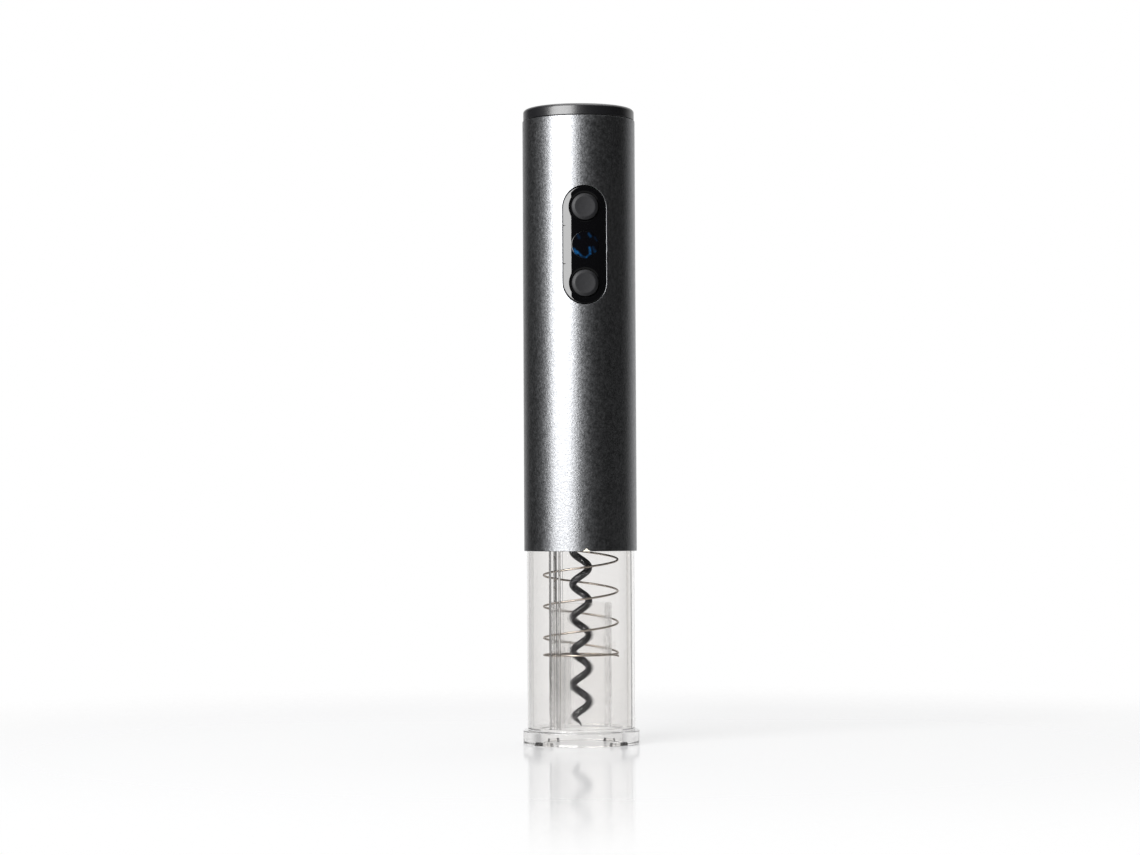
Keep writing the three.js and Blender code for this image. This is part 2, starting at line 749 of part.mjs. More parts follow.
function gearbox() {
  const ringShape = new THREE.Shape().absarc(0, 0, RING_R, 0, 2 * Math.PI);
  ringShape.holes.push(toothed(new THREE.Path(), RING_TEETH, Math.PI / RING_TEETH, true));
  const ringGear = cut(
    prism(ringShape, GEAR_BASE + GAP, COVER_Z - GAP, 24),
    gearScrewHoles(GEAR_BASE, COVER_Z, GEAR_SCREW_R + GAP),
  );
  const headR = 1.4;
  const headT = 1;
  const cover = cut(
    ring(MOTOR_SHAFT_R + 1.4, RING_R, COVER_Z, COVER_Z + COVER_T, MEDIUM),
    gearScrewHoles(COVER_Z - GAP, COVER_Z + COVER_T + GAP, GEAR_SCREW_R + GAP),
    gearScrewHoles(COVER_Z + COVER_T - headT - GAP, COVER_Z + COVER_T + GAP, headR + GAP),
  );
  const screw = join(
    disc(GEAR_SCREW_R, SHELF_Z + GAP, COVER_Z + COVER_T - headT, 10),
    disc(headR, COVER_Z + COVER_T - headT, COVER_Z + COVER_T, 12),
  ).translate([GEAR_SCREW_ORBIT, 0, 0]);
  const screws = around(PLANETS, 60, (degrees) =>
    node(
      "gearbox_screw_" + (1 + Math.floor(degrees / 120)),
      screw,
      STEEL,
      [0, 0, 0],
      THREE.MathUtils.degToRad(degrees),
    ),
  );
  const outputCarrier = join(
    carrier(CARRIER_2_Z),
    disc(OUTPUT_SHAFT_R, SHANK_TOP + 2 * GAP, CARRIER_2_Z + 0.2, SMALL),
  );
  const sun = prism(
    toothed(new THREE.Shape(), SUN_TEETH, 0),
    PLANETS_2_Z,
    CARRIER_1_Z + 0.2,
  );
  const bush = ring(OUTPUT_SHAFT_R + GAP, OUTPUT_SHAFT_R + 2.5, SHELF_Z - 0.4, GEAR_BASE + 1, SMALL);
  return group(
    node("ring_gear", ringGear, NYLON),
    node("gearbox_cover", cover, STEEL),
    screws,
    node("carrier_output", outputCarrier, STEEL),
    node("carrier_first", join(carrier(CARRIER_1_Z), sun), STEEL),
    planets("output", PLANETS_2_Z),
    planets("first", PLANETS_1_Z),
    node("output_bush", bush, BRONZE),
  );
}

// ---------------------------------------------------------------- lower frame
function lowerFrame() {
  const reach = 2 * TUBE_R;
  const bushBore = OUTPUT_SHAFT_R + 2.5 + GAP;
  const body = turned([
    [SKIRT_IN, SKIRT_BASE],
    [SKIRT_R, SKIRT_BASE],
    [SKIRT_R, FRAME_TOP - FRAME_FLANGE_T],
    [INNER_R, FRAME_TOP - FRAME_FLANGE_T],
    [INNER_R, FRAME_TOP],
    [SKIRT_IN, FRAME_TOP],
    [SKIRT_IN, GEAR_BASE],
    [bushBore, GEAR_BASE],
    [bushBore, SHELF_Z],
    [SKIRT_IN, SHELF_Z],
  ]);
  const slotTop = Math.max(OUTER_LIP_TOP + SLEEVE_TRAVEL, SKIRT_BASE) + 2;
  const slots = around(RAILS, RAIL_AZIMUTH, (azimuth) =>
    atAzimuth(frontBlock(SLOT_W, SLOT_IN, reach, SKIRT_BASE - STOP_H - 2 * GAP, slotTop), azimuth),
  );
  const frame = cut(
    body,
    slots,
    gearScrewHoles(SHELF_Z - GAP, GEAR_BASE + GAP, GEAR_SCREW_R + GAP),
  );
  const stop = cut(ring(SKIRT_IN, SLEEVE_IN - GAP, STOP_TOP - STOP_H, STOP_TOP), slots);
  const washer = ring(CORK_R + 0.4, SKIRT_IN - GAP, SHELF_Z - WASHER_T - GAP, SHELF_Z - GAP, MEDIUM);
  return group(
    node("lower_frame", frame, PLASTIC_BLACK),
    node("sleeve_stop_ring", stop, NYLON),
    node("spring_washer", washer, STEEL),
  );
}

// ---------------------------------------------------------------- worm and spring
// Smooth rise from 0 to 1 as the height goes from low to high.
function rise(height, low, high) {
  return THREE.MathUtils.smoothstep(height, low, high);
}

// The angle, from +X, of a direction given as an azimuth from the front.
function frontAngle(azimuth) {
  return THREE.MathUtils.degToRad(azimuth - 90);
}

function worm() {
  const crest = frontAngle(WORM_AZIMUTH);
  const angleAt = (z) => crest + (2 * Math.PI * (z - WORM_CREST)) / WORM_PITCH;
  const heightAt = (angle) => WORM_CREST + ((angle - crest) * WORM_PITCH) / (2 * Math.PI);
  const shankBase = CHUCK_BASE - 5;
  const radiusAt = (angle) => {
    const z = heightAt(angle);
    return WORM_R * rise(z, WORM_TIP - 1, WORM_TIP + 5) * (1 - rise(z, shankBase, CHUCK_BASE + 1));
  };
  const wireAt = (angle) => {
    const z = heightAt(angle);
    return 0.15 + (WORM_WIRE_R - 0.15) * rise(z, WORM_TIP - 2, WORM_TIP + 7);
  };
  return wound(angleAt(WORM_TIP), angleAt(SHANK_TOP), 12, 7, radiusAt, heightAt, wireAt);
}

function spring() {
  const base = SPRING_LEDGE + GAP + SPRING_WIRE / 2;
  const top = SHELF_Z - WASHER_T - 2 * GAP - SPRING_WIRE / 2;
  const endRise = SPRING_WIRE + 0.15;
  const turns = 2 * Math.PI;
  const start = frontAngle(SPRING_AZIMUTH) - turns;
  const finish = start + (SPRING_TURNS + 2) * turns;
  const blend = 0.25;
  const heightAt = (angle) => {
    const wound = THREE.MathUtils.clamp((angle - start) / turns, 0, SPRING_TURNS + 2);
    const slope = (top - base - 2 * endRise) / SPRING_TURNS - endRise;
    const ramp = (t) => (t <= 0 ? 0 : t < blend ? (t * t) / (2 * blend) : t - blend / 2);
    const active = ramp(wound - 1 + blend / 2) - ramp(wound - 1 - SPRING_TURNS + blend / 2);
    return base + endRise * wound + slope * active;
  };
  return wound(start, finish, 12, 4, () => SPRING_R, heightAt, () => SPRING_WIRE / 2);
}

function drive() {
  const chuck = turned(
    [
      [WORM_WIRE_R + 0.4, CHUCK_BASE],
      [CHUCK_R - 1.8, CHUCK_BASE],
      [CHUCK_R, CHUCK_BASE + 4],
      [CHUCK_R, CHUCK_TOP],
      [OUTPUT_SHAFT_R + GAP, CHUCK_TOP],
      [OUTPUT_SHAFT_R + GAP, SHANK_TOP + GAP],
      [WORM_WIRE_R + 0.4, SHANK_TOP + GAP],
    ],
    SMALL,
  );
  return group(
    node("worm", worm(), COATED_STEEL),
    node("worm_chuck", chuck, STEEL),
    node("return_spring", spring(), STEEL),
  );
}

// ---------------------------------------------------------------- clear sleeve
function clearSleeve() {
  const edge = 0.4;
  const skin = turned([
    [LIP_RECESS_R, 0],
    [FLANGE_R - edge, 0],
    [FLANGE_R, edge],
    [FLANGE_R, FLANGE_H - edge],
    [FLANGE_R - edge, FLANGE_H],
    [SLEEVE_R, FLANGE_H],
    [SLEEVE_R, SLEEVE_TOP],
    [LIP_IN, SLEEVE_TOP],
    [LIP_IN, SLEEVE_TOP - STOP_H],
    [SLEEVE_IN, SLEEVE_TOP - STOP_H],
    [SLEEVE_IN, LIP_RECESS_H],
    [LIP_RECESS_R, LIP_RECESS_H],
  ]);
  const rail = cut(
    frontBlock(RAIL_WIDTH, RAIL_IN, SLEEVE_IN + 0.4, LIP_RECESS_H - 0.2, SLEEVE_TOP - STOP_H + 0.2),
    frontBlock(RAIL_GROOVE, RAIL_IN - 1, RAIL_IN + RAIL_DEPTH / 2, LIP_RECESS_H + 0.5, SLEEVE_TOP),
  );
  const rails = around(RAILS, RAIL_AZIMUTH, (azimuth) => atAzimuth(rail, azimuth));
  const pocketIn = LIP_RECESS_R + 1.4;
  const pocket = frontBlock(7, pocketIn, SLEEVE_R - 0.6, -1, POCKET_H);
  const pockets = around(POCKETS, POCKET_AZIMUTH, (azimuth) => atAzimuth(pocket, azimuth));
  return cut(join(skin, rails), pockets);
}

function corkGuide() {
  const tube = ring(CORK_BORE_R, CORK_R, INSERT_BASE, CORK_TOP, MEDIUM);
  const springIn = SPRING_R - SPRING_WIRE / 2;
  const springOut = SPRING_R + SPRING_WIRE / 2;
  const seatIn = springIn - 0.45;
  const seatOut = springOut + 1.85;
  const root = CORK_R - 0.4;
  const footR = LIP_RECESS_R - GAP;
  const step = 1;
  const rib = join(
    frontBlock(RAIL_WIDTH, root, footR, INSERT_BASE, SPRING_LEDGE),
    frontBlock(RAIL_WIDTH, root, INSERT_R, INSERT_BASE + step, SPRING_LEDGE),
    frontBlock(RAIL_WIDTH, root, seatIn, INSERT_BASE, INNER_LUG_TOP),
    frontBlock(RAIL_WIDTH, seatOut, INSERT_R, INSERT_BASE + step, OUTER_LIP_TOP),
  );
  return join(
    tube,
    around(RAILS, RAIL_AZIMUTH, (azimuth) => atAzimuth(rib, azimuth)),
  );
}

function sleeve() {
  return group(
    node("clear_sleeve", clearSleeve(), CLEAR),
    node("cork_guide", corkGuide(), CLEAR),
  );
}

// ---------------------------------------------------------------- whole opener
const opener = group(
  outerShell(),
  controlPanel(),
  innerShells(),
  cells(),
  chargingPort(),
  motor(),
  gearbox(),
  lowerFrame(),
  drive(),
  sleeve(),
);
opener.name = "electric_wine_opener";

export default opener;
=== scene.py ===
"""Electric wine opener: its finished surfaces, finishes, stage and camera.

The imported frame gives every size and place. Each sub-assembly is a class that builds
its own surfaces with numpy, in millimetres, and dresses them. Heights are along +Z and
the control panel faces -Y.
"""

import json
import logging
import math
from dataclasses import dataclass, field
from enum import Enum
from typing import Any, Callable, Optional, Sequence

import bmesh
import bpy
import numpy as np
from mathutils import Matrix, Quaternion, Vector


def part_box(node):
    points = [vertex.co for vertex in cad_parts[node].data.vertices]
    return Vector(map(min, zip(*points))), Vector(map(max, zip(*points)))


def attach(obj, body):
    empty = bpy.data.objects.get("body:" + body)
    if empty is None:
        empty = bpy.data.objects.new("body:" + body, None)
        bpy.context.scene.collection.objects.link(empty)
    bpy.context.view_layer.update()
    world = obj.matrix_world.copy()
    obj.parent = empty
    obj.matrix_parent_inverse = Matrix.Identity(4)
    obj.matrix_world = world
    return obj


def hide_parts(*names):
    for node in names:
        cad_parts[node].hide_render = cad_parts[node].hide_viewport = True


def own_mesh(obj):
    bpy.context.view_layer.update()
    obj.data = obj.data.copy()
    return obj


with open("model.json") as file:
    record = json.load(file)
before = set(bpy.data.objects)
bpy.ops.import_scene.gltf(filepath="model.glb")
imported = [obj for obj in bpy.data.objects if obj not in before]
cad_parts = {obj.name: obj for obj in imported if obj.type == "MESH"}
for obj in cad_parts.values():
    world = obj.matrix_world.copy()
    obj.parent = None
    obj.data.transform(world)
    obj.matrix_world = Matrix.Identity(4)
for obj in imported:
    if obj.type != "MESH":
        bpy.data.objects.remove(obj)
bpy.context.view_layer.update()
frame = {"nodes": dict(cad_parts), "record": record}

log = logging.getLogger("wine_opener")

MM = 0.001
TURN = 2 * math.pi

# A sheet is its points and its faces, each face as four point numbers.
Sheet = tuple[np.ndarray, np.ndarray]


# ------------------------------------------------------------------ frame sizes
class Side(Enum):
    """Which corner of a node's box is read."""

    LOW = 0
    HIGH = 1


def edge(node: str, axis: str, side: Side) -> float:
    """Reads one face of a node's box from the frame.

    Args:
        node: name of the node in the frame.
        axis: "x", "y" or "z".
        side: lower or higher face.

    Returns:
        The coordinate in millimetres.
    """
    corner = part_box(node)[side.value]
    return getattr(corner, axis) / MM


def middle(node: str, axis: str) -> float:
    """Returns the middle of a node's box along an axis, in millimetres."""
    return (edge(node, axis, Side.LOW) + edge(node, axis, Side.HIGH)) / 2


def frame_edge(node: str, axis: str, side: Side) -> Any:
    """Returns a dataclass field that holds an edge read from the frame."""
    return field(default_factory=lambda: edge(node, axis, side))


def frame_middle(node: str, axis: str) -> Any:
    """Returns a dataclass field that holds a middle read from the frame."""
    return field(default_factory=lambda: middle(node, axis))


# ------------------------------------------------------------------ mesh tools
def grid_quads(rows: int, cols: int, close_rows: bool, close_cols: bool) -> np.ndarray:
    """Joins a grid of points into four-sided faces.

    Args:
        rows: number of rows of points.
        cols: number of points in a row.
        close_rows: whether the last row joins the first.
        close_cols: whether each row closes on itself.

    Returns:
        An array of faces, each with four point numbers, point = row * cols + column.
    """
    i = np.arange(rows if close_rows else rows - 1)[:, None]
    j = np.arange(cols if close_cols else cols - 1)[None, :]
    down, right = (i + 1) % rows, (j + 1) % cols
    corners = [i * cols + j, i * cols + right, down * cols + right, down * cols + j]
    return np.stack([np.broadcast_to(c, np.broadcast(i, j).shape).ravel() for c in corners], 1)


def piece(name: str, points: np.ndarray, faces: Any, sharp: float = 35.0) -> bpy.types.Object:
    """Makes a finished mesh object at the origin from points in millimetres.

    Doubled points are welded, faces are turned outwards and edges sharper than the
    given angle stay crisp.

    Args:
        name: the piece's name.
        points: array of shape (n, 3), in millimetres.
        faces: faces as lists of point numbers.
        sharp: angle in degrees above which an edge isn't smoothed.

    Returns:
        The new object, linked to the scene.
    """
    mesh = bpy.data.meshes.new(name)
    mesh.from_pydata((points * MM).tolist(), [], [list(f) for f in faces])
    shape = bmesh.new()
    shape.from_mesh(mesh)
    bmesh.ops.remove_doubles(shape, verts=shape.verts, dist=1e-7)
    stray = [e for e in shape.edges if not e.link_faces]
    bmesh.ops.delete(shape, geom=stray, context="EDGES")
    bmesh.ops.recalc_face_normals(shape, faces=shape.faces)
    shape.to_mesh(mesh)
    shape.free()
    mesh.shade_smooth()
    mesh.set_sharp_from_angle(angle=math.radians(sharp))
    made = bpy.data.objects.new(name, mesh)
    bpy.context.scene.collection.objects.link(made)
    return made


def eased_rows(
    corners: Sequence[tuple], steps: int = 5, support: float = 0.12
) -> tuple[np.ndarray, np.ndarray]:
    """Rounds the corners of a closed outline and keeps its long sides flat.

    Each corner (a, b, ease) is replaced by a parabola that leaves the sides at the
    distance ease from the corner: (1-t)^2 start + 2t(1-t) corner + t^2 end. A side
    longer than ten supports gets a point one support in from each end, so that the
    shading of the rounded corners doesn't spread over it.

    Args:
        corners: (a, b, ease) for each corner, in millimetres.
        steps: segments in each rounded corner.
        support: distance of the extra points from a long side's ends.

    Returns:
        The (a, b) outline points, and the number of the corner that each belongs to.
    """
    spots = np.array([c[:2] for c in corners], float)
    before, after = np.roll(spots, 1, 0), np.roll(spots, -1, 0)
    t = np.linspace(0, 1, steps + 1)[:, None]
    runs = []
    for k, corner in enumerate(corners):
        ease = corner[2] if len(corner) > 2 else 0.0
        if not ease:
            runs.append(spots[k][None, :])
            continue
        into, out = before[k] - spots[k], after[k] - spots[k]
        start = spots[k] + into / np.linalg.norm(into) * min(ease, np.linalg.norm(into) / 2)
        end = spots[k] + out / np.linalg.norm(out) * min(ease, np.linalg.norm(out) / 2)
        runs.append((1 - t) ** 2 * start + 2 * t * (1 - t) * spots[k] + t**2 * end)
    points = np.vstack(runs)
    owner = np.repeat(np.arange(len(runs)), [len(run) for run in runs])
    side = np.roll(points, -1, 0) - points
    length = np.linalg.norm(side, axis=1)
    far = length > 10 * support
    step = side[far] / length[far][:, None] * support
    sides = np.flatnonzero(far)
    order = np.concatenate([np.arange(len(points)), sides + 0.3, sides + 0.6])
    every = np.vstack([points, points[far] + step, np.roll(points, -1, 0)[far] - step])
    owners = np.concatenate([owner, owner[far], np.roll(owner, -1)[far]])
    rank = np.argsort(order, kind="stable")
    return every[rank], owners[rank]


def eased(corners: Sequence[tuple], steps: int = 5) -> np.ndarray:
    """Returns the points of eased_rows alone."""
    return eased_rows(corners, steps)[0]


def turned(outline: np.ndarray, segments: int) -> Sheet:
    """Turns a closed outline of (radius, height) about Z.

    Point (i, j) is (r_j cos a_i, r_j sin a_i, z_j), with a_i in equal steps.
    """
    angle = np.linspace(0, TURN, segments, endpoint=False)[:, None]
    radius, height = outline[:, 0][None, :], outline[:, 1][None, :]
    heights = np.broadcast_to(height, (segments, len(outline)))
    points = np.stack([radius * np.cos(angle), radius * np.sin(angle), heights], 2)
    return points.reshape(-1, 3), grid_quads(segments, len(outline), True, True)


def facing_front(points: np.ndarray, height: float) -> np.ndarray:
    """Turns points built along +Z so that they point along -Y, and lifts them to a height."""
    return np.stack([points[:, 0], -points[:, 2], points[:, 1] + height], 1)


def turned_front(
    name: str, outline: np.ndarray, height: float, segments: int = 96, curved: float = 0.0
) -> bpy.types.Object:
    """Turns a closed outline of (radius, distance from the body's axis) about a line along -Y.

    With a curve radius R, each point also moves back by R - sqrt(R^2 - x^2), so that the
    piece follows a cylinder.

    Args:
        name: the piece's name.
        outline: (radius, distance) points.
        height: height of the line above the base.
        segments: number of steps round the line.
        curved: radius of the cylinder that the piece follows, or 0 for none.

    Returns:
        The new object.
    """
    points, faces = turned(outline, segments)
    if curved:
        points[:, 2] -= curved - np.sqrt(curved**2 - points[:, 0] ** 2)
    return piece(name, facing_front(points, height), faces)


def wire(
    name: str,
    angles: np.ndarray,
    radius: np.ndarray,
    height: np.ndarray,
    thickness: np.ndarray,
    sides: int = 20,
) -> bpy.types.Object:
    """Carries a circle along a coil about Z.

    The centre is (R cos a, R sin a, z). The circle's axes are the radial direction made
    square to the path, and the cross product of the path's direction with it.

    Args:
        name: the piece's name.
        angles: wound angle at each station, in radians.
        radius: coil radius at each station.
        height: height at each station.
        thickness: wire radius at each station.
        sides: points round the wire.

    Returns:
        The new object, with closed ends.
    """
    centre = np.stack([radius * np.cos(angles), radius * np.sin(angles), height], 1)
    along = np.gradient(centre, axis=0)
    along /= np.linalg.norm(along, axis=1, keepdims=True)
    out = np.stack([np.cos(angles), np.sin(angles), np.zeros_like(angles)], 1)
    out -= along * np.sum(out * along, 1, keepdims=True)
    out /= np.linalg.norm(out, axis=1, keepdims=True)
    side = np.cross(along, out)
    turn = np.linspace(0, TURN, sides, endpoint=False)[None, :, None]
    ring = out[:, None, :] * np.cos(turn) + side[:, None, :] * np.sin(turn)
    points = (centre[:, None, :] + thickness[:, None, None] * ring).reshape(-1, 3)
    faces = grid_quads(len(angles), sides, False, True).tolist()
    first = len(points) - sides
    faces += [list(range(sides)), list(range(first, first + sides))]
    return piece(name, points, faces, 50.0)


def smooth(x: np.ndarray, low: float, high: float) -> np.ndarray:
    """Rises smoothly from 0 at low to 1 at high, as 3t^2 - 2t^3."""
    t = np.clip((x - low) / (high - low), 0, 1)
    return t * t * (3 - 2 * t)


def nearest_on_slot(points: np.ndarray, half_width: float, half_run: float) -> np.ndarray:
    """Finds the closest points of a rounded slot's outline, centred on 0, long side up.

    The closest point of the slot's middle line is (0, v held within the run), and the
    outline lies half a width from it, towards the given point.
    """
    spine = np.stack([np.zeros(len(points)), np.clip(points[:, 1], -half_run, half_run)], 1)
    away = points - spine
    away /= np.linalg.norm(away, axis=1, keepdims=True)
    return spine + half_width * away


def blended(inner: np.ndarray, outer: np.ndarray, shares: np.ndarray) -> Sheet:
    """Fills the space between two closed outlines with rings: inner + share (outer - inner)."""
    points = inner[None] + shares[:, None, None] * (outer - inner)[None]
    return points.reshape(-1, 2), grid_quads(len(shares), len(inner), False, True)


def welded(points: np.ndarray, faces: np.ndarray) -> Sheet:
    """Merges points that coincide, and renumbers the faces."""
    key = np.round(points, 5)
    _, first, number = np.unique(key, axis=0, return_index=True, return_inverse=True)
    return points[first], number.reshape(-1)[faces]


def joined(parts: Sequence[Sheet]) -> Sheet:
    """Puts several sheets into one."""
    offsets = np.cumsum([0] + [len(points) for points, _ in parts[:-1]])
    points = np.vstack([points for points, _ in parts])
    return points, np.vstack([faces + offset for (_, faces), offset in zip(parts, offsets)])


def thick(outer: np.ndarray, inner: np.ndarray, faces: np.ndarray) -> Sheet:
    """Closes two matching sheets into a wall.

    The inner sheet's faces are reversed, and each edge that only one face uses gets a
    strip between the sheets.

    Args:
        outer: points of the outer sheet, (n, 3).
        inner: matching points of the inner sheet.
        faces: four-sided faces of the outer sheet.

    Returns:
        Points and faces of the closed wall.
    """
    count = len(outer)
    edges = np.stack([faces, np.roll(faces, -1, 1)], 2).reshape(-1, 2)
    code = edges.min(1).astype(np.int64) * count + edges.max(1)
    _, where, uses = np.unique(code, return_inverse=True, return_counts=True)
    rim = edges[uses[where.reshape(-1)] == 1]
    strip = np.stack([rim[:, 1], rim[:, 0], rim[:, 0] + count, rim[:, 1] + count], 1)
    return np.vstack([outer, inner]), np.vstack([faces, faces[:, ::-1] + count, strip])


def wrapped(flat: np.ndarray, arc_radius: float, radius: Any) -> np.ndarray:
    """Rolls flat (u, z) points round Z with u = 0 at the front.

    The angle is u / arc_radius, and the point is (r sin angle, -r cos angle, z).
    """
    angle = flat[:, 0] / arc_radius
    return np.stack([radius * np.sin(angle), -radius * np.cos(angle), flat[:, 1]], 1)


def straight_wrapped(flat: np.ndarray, radius: Any) -> np.ndarray:
    """Pushes flat (x, z) points back onto a cylinder along -Y: y = -sqrt(r^2 - x^2)."""
    depth = np.sqrt(np.maximum(np.asarray(radius) ** 2 - flat[:, 0] ** 2, 0))
    return np.stack([flat[:, 0], -depth, flat[:, 1]], 1)


def bevelled(made: bpy.types.Object, width: float, segments: int = 3) -> bpy.types.Object:
    """Breaks a piece's sharp edges with a rounded bevel of the given width in millimetres."""
    bevel = made.modifiers.new("edge_break", "BEVEL")
    bevel.width = width * MM
    bevel.segments = segments
    bevel.limit_method = "ANGLE"
    bevel.angle_limit = math.radians(50)
    bevel.harden_normals = True
    return made


# ------------------------------------------------------------------ finishes
def linear(code: str) -> tuple[float, float, float, float]:
    """Turns an sRGB hex colour into linear red, green, blue and full alpha."""
    parts = np.array([int(code[k : k + 2], 16) / 255 for k in (1, 3, 5)])
    low, high = parts / 12.92, ((parts + 0.055) / 1.055) ** 2.4
    return (*np.where(parts <= 0.04045, low, high).tolist(), 1.0)


def add_node(
    tree: bpy.types.NodeTree, kind: str, inputs: Optional[dict] = None, **settings: Any
) -> bpy.types.Node:
    """Adds a shader node with its own settings and its inputs.

    Args:
        tree: the node tree.
        kind: the node's type name.
        inputs: socket name or number to a fixed value, or to the output socket that feeds it.
        settings: the node's own properties.

    Returns:
        The new node.
    """
    made = tree.nodes.new(kind)
    for name, value in settings.items():
        setattr(made, name, value)
    for socket, value in (inputs or {}).items():
        if isinstance(value, bpy.types.NodeSocket):
            tree.links.new(value, made.inputs[socket])
        else:
            made.inputs[socket].default_value = value
    return made


def maths(tree: bpy.types.NodeTree, operation: str, *inputs: Any) -> Any:
    """Adds a maths node on numbers or sockets, and returns its result."""
    return add_node(tree, "ShaderNodeMath", dict(enumerate(inputs)), operation=operation).outputs[0]


def vector_maths(tree: bpy.types.NodeTree, operation: str, *inputs: Any, result: Any = 0) -> Any:
    """Adds a vector maths node on tuples or sockets, and returns the named result."""
    made = add_node(tree, "ShaderNodeVectorMath", dict(enumerate(inputs)), operation=operation)
    return made.outputs[result]


def ranged(
    tree: bpy.types.NodeTree,
    value: Any,
    start: float,
    end: float,
    low: float = 0.0,
    high: float = 1.0,
    kind: str = "LINEAR",
) -> Any:
    """Adds a change from low, where the value is start, to high, where it is end."""
    inputs = {0: value, 1: start, 2: end, 3: low, 4: high}
    return add_node(tree, "ShaderNodeMapRange", inputs, interpolation_type=kind).outputs[0]


def here(tree: bpy.types.NodeTree) -> Any:
    """Adds the place on the piece, in metres from its origin."""
    return add_node(tree, "ShaderNodeTexCoord").outputs["Object"]


@dataclass(frozen=True)
class Finish:
    """An opaque surface: colour with mottling, gloss with spread, and a grain in relief.

    Grain sizes and heights are in millimetres. Where a real grain is finer than a render
    can show, its size here is the smallest that still shows.
    """

    name: str
    colour: str
    roughness: float
    metallic: float = 0.0
    ior: float = 1.5
    mottle: float = 0.08
    mottle_mm: float = 6.0
    gloss_spread: float = 0.04
    grain_mm: float = 0.5
    relief_mm: float = 0.002
    coat: float = 0.0

    def material(self) -> bpy.types.Material:
        """Returns the finish's material, made the first time it is asked for."""
        ready = bpy.data.materials.get(self.name)
        if ready:
            return ready
        made = bpy.data.materials.new(self.name)
        made.use_nodes = True
        made.diffuse_color = linear(self.colour)
        tree = made.node_tree
        tree.nodes.clear()
        shader = self.shader(tree)
        add_node(tree, "ShaderNodeOutputMaterial", {"Surface": shader.outputs[0]})
        return made

    def shader(self, tree: bpy.types.NodeTree) -> bpy.types.Node:
        """Builds the surface shader with its colour, gloss and relief patterns."""
        spot = here(tree)
        shade = np.array(linear(self.colour)[:3])
        darker, lighter = shade * (1 - self.mottle), np.minimum(shade * (1 + self.mottle), 1)
        cloud = ranged(tree, self.noise(tree, spot, self.mottle_mm, 3), 0.32, 0.68)
        tint = add_node(
            tree, "ShaderNodeMix", {0: cloud, 6: (*darker, 1), 7: (*lighter, 1)}, data_type="RGBA"
        )
        smoothest = max(self.roughness - self.gloss_spread, 0.01)
        roughest = self.roughness + self.gloss_spread
        spread = self.noise(tree, spot, self.grain_mm * 2, 2)
        inputs = {
            "Metallic": self.metallic,
            "Coat Weight": self.coat,
            "Coat Roughness": 0.03,
            "Base Color": tint.outputs[2],
            "Roughness": ranged(tree, spread, 0.0, 1.0, smoothest, roughest),
            "Normal": self.relief(tree, spot, 1.0, 2),
        }
        if self.metallic < 0.5:
            inputs["IOR"] = self.ior
        return add_node(tree, "ShaderNodeBsdfPrincipled", inputs)

    def relief(self, tree: bpy.types.NodeTree, spot: Any, strength: float, detail: int) -> Any:
        """Adds the grain as bumps in the surface."""
        height = self.noise(tree, spot, self.grain_mm, detail)
        inputs = {"Strength": strength, "Distance": self.relief_mm * MM, "Height": height}
        return add_node(tree, "ShaderNodeBump", inputs).outputs[0]

    @staticmethod
    def noise(tree: bpy.types.NodeTree, spot: Any, size_mm: float, detail: int) -> Any:
        """Adds a cloudy pattern whose features are about size_mm across."""
        inputs = {"Scale": 1 / (size_mm * MM), "Detail": detail, "Roughness": 0.55, "Vector": spot}
        return add_node(tree, "ShaderNodeTexNoise", inputs).outputs[0]


@dataclass(frozen=True)
class ClearPlastic(Finish):
    """Injection-moulded clear plastic: bright, colourless, with faint flow ripples.

    The cover is the share of the light that the plastic bends. The rest passes straight.
    """

    tint: str = "#fbfaf9"
    cover: float = 1.0

    def shader(self, tree: bpy.types.NodeTree) -> bpy.types.Node:
        """Builds a refracting shader with a slow ripple and a little haze."""
        spot = here(tree)
        cloud = self.noise(tree, spot, self.mottle_mm, 2)
        roughest = self.roughness + self.gloss_spread
        inputs = {
            "Base Color": linear(self.tint),
            "IOR": self.ior,
            "Transmission Weight": 1.0,
            "Alpha": self.cover,
            "Roughness": ranged(tree, cloud, 0.0, 1.0, self.roughness, roughest),
            "Normal": self.relief(tree, spot, 0.6, 1),
        }
        return add_node(tree, "ShaderNodeBsdfPrincipled", inputs)


